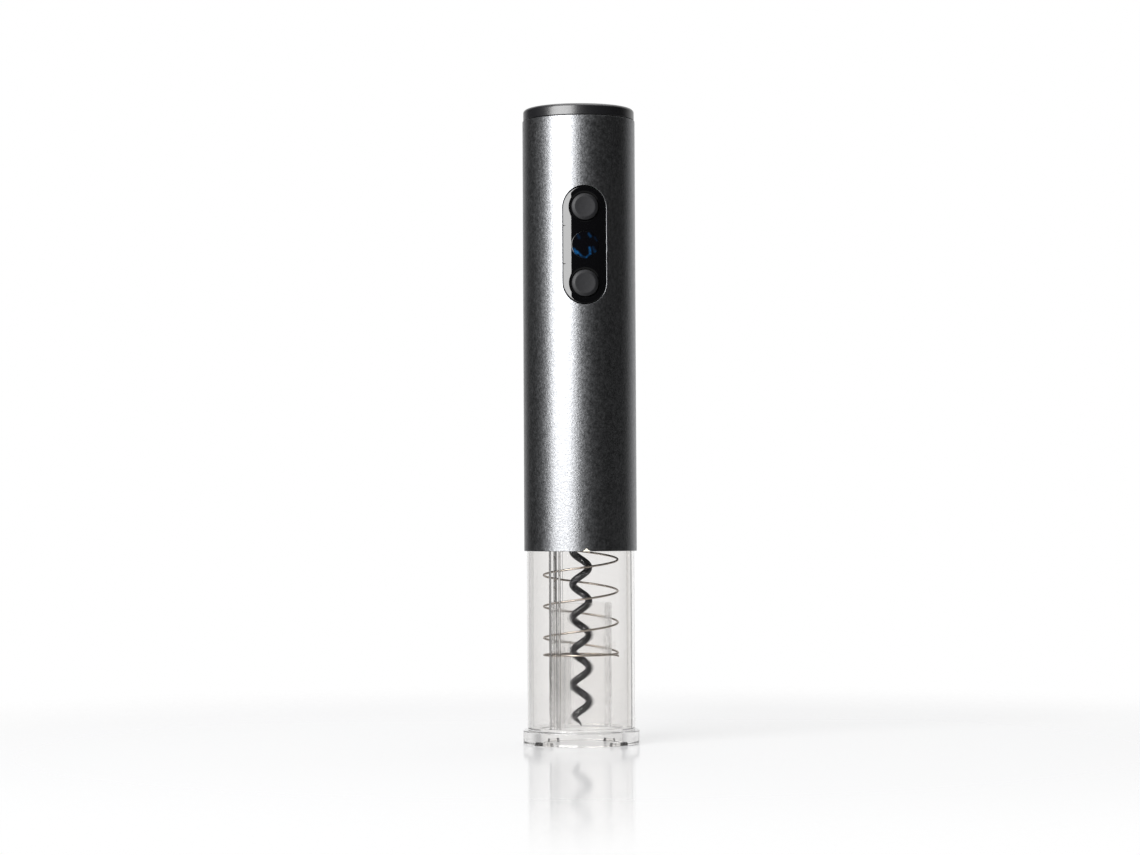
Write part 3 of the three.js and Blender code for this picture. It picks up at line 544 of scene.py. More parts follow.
@dataclass(frozen=True)
class LitLens(Finish):
    """Polished smoked acrylic with strokes of blue light from the diodes under it.

    Each stroke is (x0, z0, x1, z1, half width, strength), in millimetres from the centre.
    """

    centre_z: float = 0.0
    glow: str = "#1a66a4"
    strokes: tuple = (
        (-4.3, -1.7, -3.1, -3.2, 0.95, 0.8),
        (-3.0, -2.6, -1.5, -4.2, 0.75, 0.4),
        (-1.2, -4.6, 0.5, -4.9, 0.6, 0.28),
        (0.6, -4.7, 2.1, -3.4, 0.6, 0.28),
        (2.1, -3.4, 1.8, -1.1, 0.8, 0.5),
        (3.2, -1.2, 3.9, -2.5, 0.95, 0.22),
        (1.5, 4.2, 2.2, 3.2, 0.8, 0.28),
        (-2.8, 3.8, -2.2, 2.6, 0.95, 0.1),
        (4.0, 2.8, 4.6, 1.8, 0.75, 0.09),
    )

    def shader(self, tree: bpy.types.NodeTree) -> bpy.types.Node:
        """Adds the glow: each stroke's strength fades smoothly to 0 at its half width.

        The distance is to the stroke's line. The strokes add up, and a cloud breaks the
        light up.
        """
        shader = super().shader(tree)
        spot = here(tree)
        millimetres, shift = (1 / MM, 0, 1 / MM), (0, 0, -self.centre_z)
        flat = vector_maths(tree, "MULTIPLY_ADD", spot, millimetres, shift)
        total = 0.0
        for x0, z0, x1, z1, width, strength in self.strokes:
            run = Vector((x1 - x0, 0, z1 - z0))
            apart = vector_maths(tree, "SUBTRACT", flat, (x0, 0, z0))
            along = tuple(run / run.length_squared)
            share = vector_maths(tree, "DOT_PRODUCT", apart, along, result="Value")
            share = add_node(tree, "ShaderNodeClamp", {0: share}).outputs[0]
            nearest = add_node(
                tree, "ShaderNodeVectorMath", {0: tuple(run), "Scale": share}, operation="SCALE"
            ).outputs[0]
            away = vector_maths(tree, "DISTANCE", apart, nearest, result="Value")
            light = ranged(tree, away, 0.0, width, strength, 0.0, "SMOOTHSTEP")
            total = maths(tree, "ADD", total, light)
        patch = ranged(tree, self.noise(tree, spot, 1.0, 3), 0.3, 0.65, 0.15, 1.0)
        shader.inputs["Emission Color"].default_value = linear(self.glow)
        tree.links.new(maths(tree, "MULTIPLY", total, patch), shader.inputs["Emission Strength"])
        return shader


# Every finish of the opener, named for its real material, by the record's material slot.
FINISHES = {
    # Anodised, bead-blasted aluminium: a satin sheen that breaks into tiny sparkles where
    # the highlight fades. The blast marks are drawn 0.75 mm apart so that they show.
    "gunmetal_aluminium": Finish(
        "anodised_bead_blasted_aluminium", "#78797b", 0.36, 1.0, mottle=0.2, mottle_mm=0.75,
        gloss_spread=0.1, grain_mm=0.75, relief_mm=0.05,
    ),
    # Satin ABS: a soft, wide highlight on near-black.
    "satin_black_abs": Finish("satin_moulded_abs", "#121214", 0.3, ior=1.66, mottle=0.1, relief_mm=0.004),
    # Polished acrylic: deep black with sharp reflections.
    "gloss_black_acrylic": Finish(
        "polished_black_acrylic", "#050506", 0.03, ior=1.49, gloss_spread=0.01, grain_mm=3.0,
        relief_mm=0.0002, coat=0.25,
    ),
    # Silicone rubber keys: matt charcoal with a dusty bloom.
    "soft_grey_rubber": Finish(
        "matt_silicone_rubber", "#101013", 0.55, ior=1.43, mottle=0.12, grain_mm=0.4, relief_mm=0.006
    ),
    # Clear polycarbonate: bright edges, faint flow lines.
    "clear_polycarbonate": ClearPlastic(
        "clear_moulded_polycarbonate", "#f4f6f7", 0.0, ior=1.49, gloss_spread=0.03, grain_mm=9.0,
        relief_mm=0.01, mottle_mm=12.0,
    ),
    # Non-stick coated steel: graphite, semi-gloss, a slight orange peel.
    "coated_steel": Finish(
        "nonstick_coated_steel", "#313134", 0.36, mottle=0.15, grain_mm=0.9, relief_mm=0.01,
        gloss_spread=0.08,
    ),
    # Hard-drawn spring wire, lightly tempered: a warm champagne metal.
    "spring_steel": Finish(
        "hard_drawn_spring_wire", "#ada399", 0.36, 1.0, mottle=0.15, mottle_mm=3.0,
        gloss_spread=0.08, relief_mm=0.003,
    ),
    # Moulded nylon: milky, waxy.
    "gear_nylon": Finish("moulded_nylon", "#ddd8c8", 0.5, ior=1.53, relief_mm=0.004),
    # Shrink-wrapped cell: printed-film blue with a soft gloss.
    "cell_wrap": Finish("shrink_film_cell_wrap", "#2a5c9c", 0.3, grain_mm=1.5, relief_mm=0.01),
    # Nickel plate: bright, slightly yellow mirror.
    "nickel_plate": Finish("bright_nickel_plate", "#cfc9bb", 0.16, 1.0, relief_mm=0.001),
    # Sintered bronze: dull gold with open pores.
    "sintered_bronze": Finish(
        "sintered_bronze", "#a37a3d", 0.5, 1.0, mottle=0.25, mottle_mm=0.8, relief_mm=0.02
    ),
    # Circuit board: green solder mask, semi-gloss.
    "circuit_board": Finish("green_solder_mask", "#1c5a35", 0.35, mottle=0.15, relief_mm=0.004),
    # Lit diode: blue lens.
    "blue_led": Finish("blue_diode_epoxy", "#3c8cf0", 0.15),
    # Moulded structural ABS: fine spark-eroded texture.
    "moulded_black_abs": Finish(
        "spark_textured_black_abs", "#161618", 0.5, grain_mm=0.6, relief_mm=0.01
    ),
    # Wire insulation: smooth PVC.
    "red_insulation": Finish("red_pvc_insulation", "#a32020", 0.4),
    "black_insulation": Finish("black_pvc_insulation", "#131313", 0.4),
    # Sintered ferrite: dull charcoal, slightly gritty.
    "ferrite": Finish("sintered_ferrite", "#34353a", 0.6, 0.2, mottle=0.2, relief_mm=0.02),
    # Zinc-plated steel: grey, softly bright.
    "plated_steel": Finish(
        "zinc_plated_steel", "#b5b6b4", 0.28, 1.0, mottle=0.12, gloss_spread=0.08
    ),
}

# Thin moulded styrene, for the cork guide: clear, a little grey, softer edges than the sleeve.
CLEAR_INSERT = ClearPlastic(
    "clear_moulded_styrene", "#eeeeee", 0.0, ior=1.17, gloss_spread=0.05, grain_mm=9.0,
    relief_mm=0.01, mottle_mm=12.0, tint="#f8f7f6", cover=0.5,
)


def dress(made: bpy.types.Object, finish: Finish) -> None:
    """Gives an object one finish all over."""
    made.data.materials.clear()
    made.data.materials.append(finish.material())


def place(
    made: bpy.types.Object, body: str, slot: str, *nodes: str, finish: Optional[Finish] = None
) -> None:
    """Dresses a piece, joins it to its body and lets it stand for frame nodes.

    Args:
        made: the piece.
        body: the body that it moves with.
        slot: the record's material slot.
        nodes: frame nodes that it replaces.
        finish: its finish, where it isn't the slot's own.
    """
    finish = finish or FINISHES[slot]
    dress(made, finish)
    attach(made, body)
    if nodes:
        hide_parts(*nodes)
    log.info("%s rides on %s in %s", made.name, body, finish.name)


# ------------------------------------------------------------------ outer shell
@dataclass
class OuterShell:
    """The metal tube with its panel opening, port and index mark, and the top cap."""

    panel_w: float = 17.5
    panel_l: float = 46.0
    port_w: float = 10.6
    port_h: float = 5.2
    wall: float = 0.8
    mark_w: float = 3.0
    mark_h: float = 1.3
    mark_gap: float = 0.16
    mark_sink: float = 0.08
    columns: int = 144
    row_h: float = 1.6
    # Columns to each side of an opening's middle, and rows' reach in millimetres.
    front_block: tuple = (15, 30.0)
    rear_block: tuple = (9, 6.0)
    cap_gap: float = 0.3
    cap_wall: float = 1.6
    cap_roof: float = 2.0
    cap_ease: float = 0.9
    cap_dome: float = 3.0
    radius: float = frame_edge("body_tube", "x", Side.HIGH)
    bottom: float = frame_edge("body_tube", "z", Side.LOW)
    top: float = frame_edge("body_tube", "z", Side.HIGH)
    panel_z: float = frame_middle("panel_bezel", "z")
    port_z: float = frame_middle("port_bezel", "z")

    def block(self, us: np.ndarray, vs: np.ndarray, hole: Callable) -> Sheet:
        """Fills a rectangle round a hole with rings that run from the hole to the rectangle.

        Args:
            us: column positions inside the rectangle, from its centre.
            vs: row positions inside the rectangle, from its centre.
            hole: gives the hole's outline point for each point of the rectangle's edge.

        Returns:
            Flat points and faces, about the rectangle's centre.
        """
        low, high = np.full_like(us, vs[0]), np.full_like(us, vs[-1])
        left, right = np.full_like(vs, us[0]), np.full_like(vs, us[-1])
        sides = [(us, low), (right, vs), (us[::-1], high), (left, vs[::-1])]
        rim = np.vstack([np.stack(side, 1)[:-1] for side in sides])
        return blended(hole(rim), rim, np.linspace(0, 1, 8) ** 1.5)

    def wall_sheet(self) -> Sheet:
        """Lays out the tube's wall flat, with both openings and the index mark.

        Columns are equal steps round the tube, and rows follow the blocks' edges. The
        bottom row rises under the mark as height * (1 - |u| / half width).

        Returns:
            Flat (u, z) points and four-sided faces.
        """
        around = TURN * self.radius
        step = around / self.columns
        panel_run, port_run = (self.panel_l - self.panel_w) / 2, (self.port_w - self.port_h) / 2
        openings = [
            (0.0, self.panel_z, self.front_block,
             lambda rim: nearest_on_slot(rim, self.panel_w / 2, panel_run)),
            (around / 2, self.port_z, self.rear_block,
             lambda rim: nearest_on_slot(rim[:, ::-1], self.port_h / 2, port_run)[:, ::-1]),
        ]
        limits = [z + side * reach for _, z, (_, reach), _ in openings for side in (-1, 1)]
        stops = [self.bottom, *sorted(limits), self.top]
        vs = []
        for low, high in zip(stops, stops[1:]):
            vs += [*np.linspace(low, high, max(2, int((high - low) / self.row_h) + 1))[:-1]]
        vs = np.array([*vs, self.top])
        us = (np.arange(self.columns + 1) - self.columns // 2) * step
        columns, rows = np.meshgrid(us, vs)
        flat = np.stack([columns.ravel(), rows.ravel()], 1)
        faces = grid_quads(len(vs), len(us), False, False)
        centre = flat[faces].mean(1)
        kept = np.ones(len(faces), bool)
        blocks = []
        for u, z, (count, reach), hole in openings:
            away = abs((centre[:, 0] - u + around / 2) % around - around / 2)
            kept &= ~((away < count * step) & (abs(centre[:, 1] - z) < reach))
            inside = vs[abs(vs - z) < reach + 0.01]
            points, quads = self.block(np.arange(-count, count + 1) * step, inside - z, hole)
            blocks.append((points + [u, z], quads))
        flat, faces = joined([(flat, faces[kept]), *blocks])
        at_bottom = flat[:, 1] < self.bottom + 0.01
        rise = self.mark_h * np.clip(1 - abs(flat[:, 0]) / (self.mark_w / 2), 0, None)
        flat[:, 1] += np.where(at_bottom, rise, 0)
        return flat, faces

    def build(self) -> None:
        """Builds and places the tube and the cap."""
        flat, faces = self.wall_sheet()
        outer, quads = welded(wrapped(flat, self.radius, self.radius), faces)
        shrink = (self.radius - self.wall) / self.radius
        points, walls = thick(outer, outer * [shrink, shrink, 1], quads)
        tube = bevelled(piece("metal_tube", points, walls, 40.0), 0.16)
        place(tube, "body", "gunmetal_aluminium", "body_tube")
        place(self.mark(), "body", "gear_nylon")
        place(self.cap(), "body", "satin_black_abs", "top_cap")

    def mark(self) -> bpy.types.Object:
        """Returns the pale index wedge that fills the notch: a triangle carried inwards."""
        half = self.mark_w / 2 - self.mark_gap
        across = np.array([-half, half, 0.0])
        up = np.array([0.0, 0.0, self.mark_h * half / (self.mark_w / 2)]) + self.bottom
        depth = [self.mark_sink - self.radius, self.wall - self.mark_sink - self.radius]
        points = np.vstack([np.stack([across, np.full(3, y), up], 1) for y in depth])
        faces = [*grid_quads(2, 3, False, True).tolist(), [0, 1, 2], [3, 4, 5]]
        return piece("index_wedge", points, faces)

    def cap(self) -> bpy.types.Object:
        """Returns the top cap: a shallow dome edge over a skirt that plugs the tube."""
        top, skirt = edge("top_cap", "z", Side.HIGH), edge("top_cap", "z", Side.LOW)
        rim = edge("top_cap", "x", Side.HIGH)
        seat = self.top + self.cap_gap
        plug = self.radius - self.wall - self.cap_gap
        roof = top - self.cap_roof
        outline = eased(
            [
                (0, roof),
                (plug - self.cap_wall, roof, 0.3),
                (plug - self.cap_wall, skirt, 0.3),
                (plug, skirt, 0.3),
                (plug, seat, 0.1),
                (rim, seat, 0.15),
                (rim, top - self.cap_ease, 0.5),
                (rim - self.cap_ease, top - 0.05, 0.5),
                (rim - self.cap_dome, top, 0.8),
                (0, top),
            ]
        )
        return piece("satin_cap", *turned(outline, 160))


# ------------------------------------------------------------------ control panel
@dataclass
class ControlPanel:
    """The glossy curved panel, its lens and its two keys."""

    width: float = 17.1
    length: float = 45.6
    thickness: float = 1.7
    pitch: float = 29.5
    key_r: float = 5.15
    key_gap: float = 0.3
    lens_r: float = 5.2
    dish_r: float = 6.1
    dish_h: float = 0.22
    edge_r: float = 0.45
    curve_r: float = 27.0
    sink: float = 0.45
    spokes: int = 120
    stem_r: float = 1.6
    key_h: float = 4.0
    collar_h: float = 0.7
    lens_gap: float = 0.12
    lens_depth: float = 2.6
    centre_z: float = frame_middle("panel_bezel", "z")
    tube_r: float = frame_edge("body_tube", "x", Side.HIGH)

    def cell(self, hole_z: float, hole_r: float, low: float, high: float) -> Sheet:
        """Fills the part of the panel round one hole, between two heights.

        Rays leave the hole's centre in equal angles, and at the angles of the middle
        cell's corners. Each ends on the panel's outline or
        on the cell's straight edge, found by halving the ray forty times.

        Args:
            hole_z: height of the hole's centre, from the panel's centre.
            hole_r: radius of the hole.
            low: lower limit of the cell.
            high: upper limit of the cell.

        Returns:
            Flat points and faces.
        """
        even = np.linspace(0, TURN, self.spokes, endpoint=False) + math.pi / self.spokes
        corner = math.atan2(self.pitch / 4, self.width / 2)
        angle = np.sort([*even, corner, math.pi - corner, math.pi + corner, TURN - corner])
        ray = np.stack([np.cos(angle), np.sin(angle)], 1)
        near, far = np.zeros(len(angle)), np.full(len(angle), self.length)
        for _ in range(40):
            half = (near + far) / 2
            spot = ray * half[:, None] + [0, hole_z]
            inside = (self.inset(spot) > 0) & (spot[:, 1] > low) & (spot[:, 1] < high)
            near, far = np.where(inside, half, near), np.where(inside, far, half)
        rim = ray * near[:, None] + [0, hole_z]
        hole = ray * hole_r + [0, hole_z]
        near_hole, near_rim = np.linspace(0, 0.3, 8), np.linspace(0.85, 1, 7)
        shares = [*near_hole[:-1], *np.linspace(0.3, 0.85, 6)[:-1], *near_rim]
        return blended(hole, rim, np.array(shares))

    def inset(self, flat: np.ndarray) -> np.ndarray:
        """Returns how far inside the panel's rounded outline each point lies."""
        run = (self.length - self.width) / 2
        spine = np.clip(flat[:, 1], -run, run)
        return self.width / 2 - np.hypot(flat[:, 0], flat[:, 1] - spine)

    def face_radius(self, flat: np.ndarray) -> np.ndarray:
        """Gives the face's distance from the axis of its own, flatter curve.

        It is the curve's radius, less a quarter-round drop within edge_r of the outline
        and less a conical dish round each key's hole.
        """
        drop = np.clip(self.edge_r - self.inset(flat), 0, self.edge_r)
        rounded = self.edge_r - np.sqrt(np.maximum(self.edge_r**2 - drop**2, 0))
        dish = np.zeros(len(flat))
        slope = self.dish_r - self.key_r - self.key_gap
        for z in (-self.pitch / 2, self.pitch / 2):
            away = np.hypot(flat[:, 0], flat[:, 1] - z)
            dish = np.maximum(dish, self.dish_h * np.clip((self.dish_r - away) / slope, 0, 1))
        return self.curve_r - rounded - dish

    def bezel(self) -> bpy.types.Object:
        """Builds the panel from one cell round each hole, closed by a back sheet."""
        split = self.pitch / 4
        holes = [
            (-self.pitch / 2, self.key_r + self.key_gap, -self.length, -split),
            (0.0, self.lens_r + self.lens_gap, -split, split),
            (self.pitch / 2, self.key_r + self.key_gap, split, self.length),
        ]
        flat, faces = welded(*joined([self.cell(*hole) for hole in holes]))
        outer = straight_wrapped(flat, self.face_radius(flat))
        inner = straight_wrapped(flat, self.curve_r - self.thickness)
        points, walls = thick(outer, inner, faces)
        forward = self.curve_r - (self.tube_r - self.sink)
        return piece("gloss_panel", points + [0, forward, self.centre_z], walls, 30.0)

    def key(self, name: str, node: str) -> bpy.types.Object:
        """Builds a key: a round pad with a bevelled shoulder and a slightly hollow face."""
        face = -edge(node, "y", Side.LOW)
        stem = -edge(node, "y", Side.HIGH)
        collar = edge(node, "x", Side.HIGH)
        lip = face - self.key_h
        outline = eased(
            [
                (0, stem),
                (self.stem_r, stem, 0.2),
                (self.stem_r, lip - self.collar_h),
                (collar, lip - self.collar_h, 0.1),
                (collar, lip, 0.1),
                (self.key_r, lip, 0.1),
                (self.key_r, face - 0.62, 0.25),
                (self.key_r - 0.55, face - 0.28, 0.2),
                (self.key_r - 1.15, face, 0.22),
                (self.key_r - 2.6, face - 0.1, 0.5),
                (0, face - 0.16),
            ]
        )
        return turned_front(name, outline, middle(node, "z"))

    def lens(self) -> bpy.types.Object:
        """Builds the lens: a disc with a rounded rim that follows the panel's curve."""
        face = self.tube_r - self.sink
        back = face - self.lens_depth
        outline = eased(
            [
                (0, back),
                (self.lens_r, back, 0.1),
                (self.lens_r, face, 0.07),
                *[(self.lens_r * share, face) for share in np.linspace(0.95, 0, 12)],
            ]
        )
        return turned_front("smoked_lens", outline, self.centre_z, 144, self.curve_r)

    def build(self) -> None:
        """Builds and places the panel, the lens and both keys."""
        lit = LitLens("smoked_acrylic_lens_lit_blue", "#050507", 0.03, ior=1.49, gloss_spread=0.01,
                      relief_mm=0.0002, grain_mm=3.0, centre_z=self.centre_z)
        place(self.bezel(), "body", "gloss_black_acrylic", "panel_bezel")
        place(self.lens(), "body", "gloss_black_acrylic", "indicator_lens", finish=lit)
        for name in ("up", "down"):
            pad = self.key("rubber_key_" + name, "button_" + name)
            place(pad, name + "_button", "soft_grey_rubber", "button_" + name)


# ------------------------------------------------------------------ charging port
@dataclass
class ChargingPort:
    """The socket at the back of the tube and its plastic surround."""

    width: float = 10.0
    height: float = 4.6
    mouth_h: float = 3.6
    socket_w: float = 8.6
    socket_h: float = 3.0
    skin: float = 0.35
    floor_h: float = 1.2
    tongue_w: float = 6.4
    tongue_h: float = 0.7
    tongue_in: float = 0.6
    around: int = 96
    centre_z: float = frame_middle("port_bezel", "z")
    face: float = frame_edge("port_bezel", "y", Side.HIGH)

    @staticmethod
    def slot_loop(width: float, height: float, inset: float, count: int) -> np.ndarray:
        """Returns a rounded slot's outline, long side across, moved inwards by inset."""
        angle = np.linspace(0, TURN, count, endpoint=False)
        run = (width - height) / 2
        radius = height / 2 - inset
        across = np.sign(np.cos(angle)) * run + radius * np.cos(angle)
        return np.stack([across, radius * np.sin(angle)], 1)

    def lofted(self, name: str, width: float, height: float, steps: np.ndarray) -> bpy.types.Object:
        """Carries a slot outline through (inset, distance from the body's axis) steps.

        Args:
            name: the piece's name.
            width: outer width of the slot.
            height: outer height of the slot.
            steps: closed run of (inset, distance) pairs.

        Returns:
            The new object, at the back of the tube.
        """
        loops = []
        for inset, out in steps:
            loop = self.slot_loop(width, height, inset, self.around)
            away = np.full(self.around, out)
            loops.append(np.stack([-loop[:, 0], away, loop[:, 1] + self.centre_z], 1))
        return piece(name, np.vstack(loops), grid_quads(len(steps), self.around, True, True))

    def build(self) -> None:
        """Builds and places the surround and the socket with its tongue."""
        back = edge("port_bezel", "y", Side.LOW)
        rim = (self.height - self.mouth_h) / 2
        lip = (0, self.face - 0.15, 0.2), (rim * 0.9, self.face - 0.2, 0.1)
        surround = eased([(0, back), *lip, (rim, back)])
        made = self.lofted("port_surround", self.width, self.height, surround)
        place(made, "body", "moulded_black_abs", "port_bezel")
        mouth = edge("charging_socket", "y", Side.HIGH)
        deep = edge("charging_socket", "y", Side.LOW)
        core, floor = self.socket_h / 2 - 0.001, deep + self.floor_h
        shell = eased(
            [
                (0, deep),
                (0, mouth, 0.1),
                (self.skin, mouth, 0.1),
                (self.skin, floor),
                (core, floor),
                (core, deep),
            ]
        )
        made = self.lofted("socket_shell", self.socket_w, self.socket_h, shell)
        place(made, "body", "nickel_plate", "charging_socket")
        root, front, core = floor + 0.1, mouth - self.tongue_in, self.tongue_h / 2 - 0.001
        tongue = eased([(0, root), (0, front, 0.15), (core, front), (core, root)])
        made = self.lofted("socket_tongue", self.tongue_w, self.tongue_h, tongue)
        place(made, "body", "moulded_black_abs")


# ------------------------------------------------------------------ worm and spring
@dataclass
class Corkscrew:
    """The coated worm on the gearbox's chuck."""

    pitch: float = 13.05
    crest_z: float = 16.4
    crest_azimuth: float = 84.0
    coil_r: float = 3.12
    wire_r: float = 1.43
    tip_r: float = 0.05
    stations: int = 700
    tip: float = frame_edge("worm", "z", Side.LOW)
    top: float = frame_edge("worm", "z", Side.HIGH)
    chuck: float = frame_edge("worm_chuck", "z", Side.LOW)

    def build(self) -> None:
        """Builds and places the worm.

        The wound angle grows by a turn per pitch. The coil closes on the axis at the tip
        and inside the chuck, and the wire thins to a point at the tip.
        """
        height = np.linspace(self.tip + 0.1, self.top, self.stations)
        angles = math.radians(self.crest_azimuth - 90) + TURN * (height - self.crest_z) / self.pitch
        radius = self.coil_r * smooth(height, self.tip - 1, self.tip + 5)
        radius = radius * (1 - smooth(height, self.chuck - 5, self.chuck + 1))
        point = smooth(height, self.tip - 1.0, self.tip + 5.5)
        thickness = self.tip_r + (self.wire_r - self.tip_r) * point
        worm = wire("coated_worm", angles, radius, height, thickness, 28)
        place(worm, "worm_drive", "coated_steel", "worm")


@dataclass
class ReturnSpring:
    """The compression spring between the sleeve's ribs and the body."""

    coil_r: float = 14.45
    wire_r: float = 0.4
    turns: float = 6.15
    coil_gap: float = 0.15
    bend: float = 0.25
    start_azimuth: float = 84.0
    travel: float = 50.0
    low: float = frame_edge("return_spring", "z", Side.LOW)
    high: float = frame_edge("return_spring", "z", Side.HIGH)

    def build(self) -> None:
        """Builds and places the spring: one closed coil at each end, open coils between.

        The height is the closed coils' rise plus the open pitch times the turns gone by
        between the ends, with a short bend where the pitch changes.
        """
        base, top = self.low + self.wire_r, self.high - self.wire_r
        wound = np.linspace(0, self.turns + 2, 1100)
        end_rise = 2 * self.wire_r + self.coil_gap
        slope = (top - base - 2 * end_rise) / self.turns - end_rise
        bend = self.bend

        def ramp(t: np.ndarray) -> np.ndarray:
            """Zero, then a parabola over the bend, then a straight rise."""
            return np.where(t <= 0, 0, np.where(t < bend, t * t / (2 * bend), t - bend / 2))

        active = ramp(wound - 1 + bend / 2) - ramp(wound - 1 - self.turns + bend / 2)
        height = base + end_rise * wound + slope * active
        angles = math.radians(self.start_azimuth - 90) + TURN * wound
        radius, thickness = np.full_like(wound, self.coil_r), np.full_like(wound, self.wire_r)
        spring = wire("spring_wire", angles, radius, height, thickness, 14)
        place(spring, "body", "spring_steel", "return_spring")
        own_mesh(spring)


# ------------------------------------------------------------------ clear sleeve
@dataclass
class ClearSleeve:
    """The clear sleeve with its flange and rails, and the cork guide inside it."""

    wall: float = 1.0
    slide_gap: float = 0.2
    tube_wall: float = 0.8
    rail_w: float = 4.0
    rail_h: float = 2.0
    groove_w: float = 1.4
    groove_h: float = 0.75
    rail_azimuth: float = -37.0
    flange_h: float = 5.4
    recess_r: float = 16.2
    recess_h: float = 6.5
    pocket_w: float = 7.0
    pocket_h: float = 1.4
    pocket_azimuth: float = -51.0
    pocket_in: float = 1.4
    pocket_mid: float = 2.5
    pocket_out: float = 0.6
    pocket_ease: float = 0.02
    lip_h: float = 2.0
    lip_r: float = 17.9
    cork_r: float = 11.0
    cork_wall: float = 1.1
    ledge_z: float = 33.4
    lug_top: float = 39.5
    lip_top: float = 36.7
    seat_in: float = 13.6
    seat_out: float = 16.7
    foot_h: float = 1.0
    foot_gap: float = 0.3
    rib_gap: float = 0.06
    root: float = 0.5
    flange_r: float = frame_edge("clear_sleeve", "x", Side.HIGH)
    top: float = frame_edge("clear_sleeve", "z", Side.HIGH)
    tube_r: float = frame_edge("body_tube", "x", Side.HIGH)
    guide_low: float = frame_edge("cork_guide", "z", Side.LOW)
    guide_top: float = frame_edge("cork_guide", "z", Side.HIGH)

    @property
    def outer_r(self) -> float:
        """Outer radius: the tube's inside less the sliding clearance."""
        return self.tube_r - self.tube_wall - self.slide_gap

    @property
    def inner_r(self) -> float:
        """Inner radius of the sleeve's wall."""
        return self.outer_r - self.wall

    @property
    def pocket_half(self) -> float:
        """Half the angle that a pocket takes up."""
        return self.pocket_w / 2 / (self.recess_r + self.pocket_mid)

    def columns(self) -> np.ndarray:
        """Returns angles from the front with extra lines at the rails' and pockets' edges."""
        even = np.linspace(-math.pi, math.pi, 288, endpoint=False)
        extra = []
        for k in range(3):
            middle_angle = math.radians(self.rail_azimuth + 120 * k)
            for half in (self.rail_w / 2, self.groove_w / 2):
                spread = half / self.inner_r + np.array([-0.004, 0, 0.004, 0.008])
                extra += [middle_angle + spread, middle_angle - spread]
        for k in range(4):
            middle_angle = math.radians(self.pocket_azimuth + 90 * k)
            spread = self.pocket_half + np.linspace(-1, 1, 5) * self.pocket_ease
            extra += [middle_angle + spread, middle_angle - spread]
        every = np.concatenate([even, *extra])
        return np.unique(np.round((every + math.pi) % TURN - math.pi, 6))

    @staticmethod
    def near(angles: np.ndarray, first: float, count: int, half: float, ease: float) -> np.ndarray:
        """Returns 1 within half a width, as an angle, of repeated places, easing to 0."""
        step = TURN / count
        away = abs((angles - math.radians(first) + step / 2) % step - step / 2)
        return 1 - smooth(away, half - ease, half + ease)

    def shell(self) -> bpy.types.Object:
        """Builds the sleeve as a surface of angle and place along its section.

        The radius is the section's, less the rails' height where the section follows the
        inner wall. The height is the section's, plus the pockets' depth under the flange.
        """
        pocket_in, pocket_out = self.recess_r + self.pocket_in, self.outer_r - self.pocket_out
        runs = [
            ([(self.recess_r, 0, 0.25), (pocket_in - 0.03, 0)], 0, 0),
            ([(pocket_in, 0), (pocket_out, 0)], 0, 1),
            (
                [
                    (pocket_out + 0.03, 0),
                    (self.flange_r, 0, 0.45),
                    (self.flange_r, self.flange_h, 0.55),
                    (self.outer_r, self.flange_h, 0.5),
                    (self.outer_r, self.top, 0.3),
                    (self.lip_r, self.top, 0.3),
                    (self.lip_r, self.top - self.lip_h, 0.2),
                ],
                0,
                0,
            ),
            ([(self.inner_r, self.top - self.lip_h, 0), (self.inner_r, self.recess_h, 0)], 1, 0),
            ([(self.recess_r, self.recess_h, 0.25)], 0, 0),
        ]
        corners = [c for run, _, _ in runs for c in run]
        outline, owner = eased_rows(corners)
        marks = np.array([(rail, pocket) for run, rail, pocket in runs for _ in run])[owner]
        angles = self.columns()
        rails = self.near(angles, self.rail_azimuth, 3, self.rail_w / 2 / self.inner_r, 0.004)
        grooves = self.near(angles, self.rail_azimuth, 3, self.groove_w / 2 / self.inner_r, 0.004)
        ridge = self.rail_h * rails - self.groove_h * grooves
        pockets = self.near(angles, self.pocket_azimuth, 4, self.pocket_half, self.pocket_ease)
        radius = outline[None, :, 0] - ridge[:, None] * marks[None, :, 0]
        height = outline[None, :, 1] + self.pocket_h * pockets[:, None] * marks[None, :, 1]
        sine, cosine = np.sin(angles)[:, None], np.cos(angles)[:, None]
        points = np.stack([radius * sine, -radius * cosine, height], 2)
        faces = grid_quads(len(angles), len(outline), True, True)
        return piece("clear_sleeve_shell", points.reshape(-1, 3), faces, 30.0)

    def rib(self, azimuth: float) -> bpy.types.Object:
        """Builds one rib: its section, with the spring's seat, carried across its width."""
        root_r, foot_r = self.cork_r + self.root, self.recess_r - self.foot_gap
        foot_top = self.guide_low + self.foot_h
        end_r = self.inner_r - self.rail_h - self.rib_gap
        section = eased(
            [
                (root_r, self.guide_low),
                (foot_r, self.guide_low, 0.2),
                (foot_r, foot_top, 0.1),
                (end_r, foot_top, 0.1),
                (end_r, self.lip_top, 0.4),
                (self.seat_out, self.lip_top, 0.3),
                (self.seat_out, self.ledge_z, 0.15),
                (self.seat_in, self.ledge_z, 0.15),
                (self.seat_in, self.lug_top, 0.5),
                (root_r, self.lug_top),
            ],
            4,
        )
        across = np.array([-0.5, 0.5])[:, None] * self.rail_w
        turn = math.radians(azimuth)
        out = np.broadcast_to(section[None, :, 0], (2, len(section)))
        side = np.broadcast_to(across, (2, len(section)))
        points = np.stack(
            [
                out * math.sin(turn) + side * math.cos(turn),
                -out * math.cos(turn) + side * math.sin(turn),
                np.broadcast_to(section[None, :, 1], (2, len(section))),
            ],
            2,
        ).reshape(-1, 3)
        count = len(section)
        faces = grid_quads(2, count, False, True).tolist()
        faces += [list(range(count)), list(range(count, 2 * count))]
        return piece("rib", points, faces)

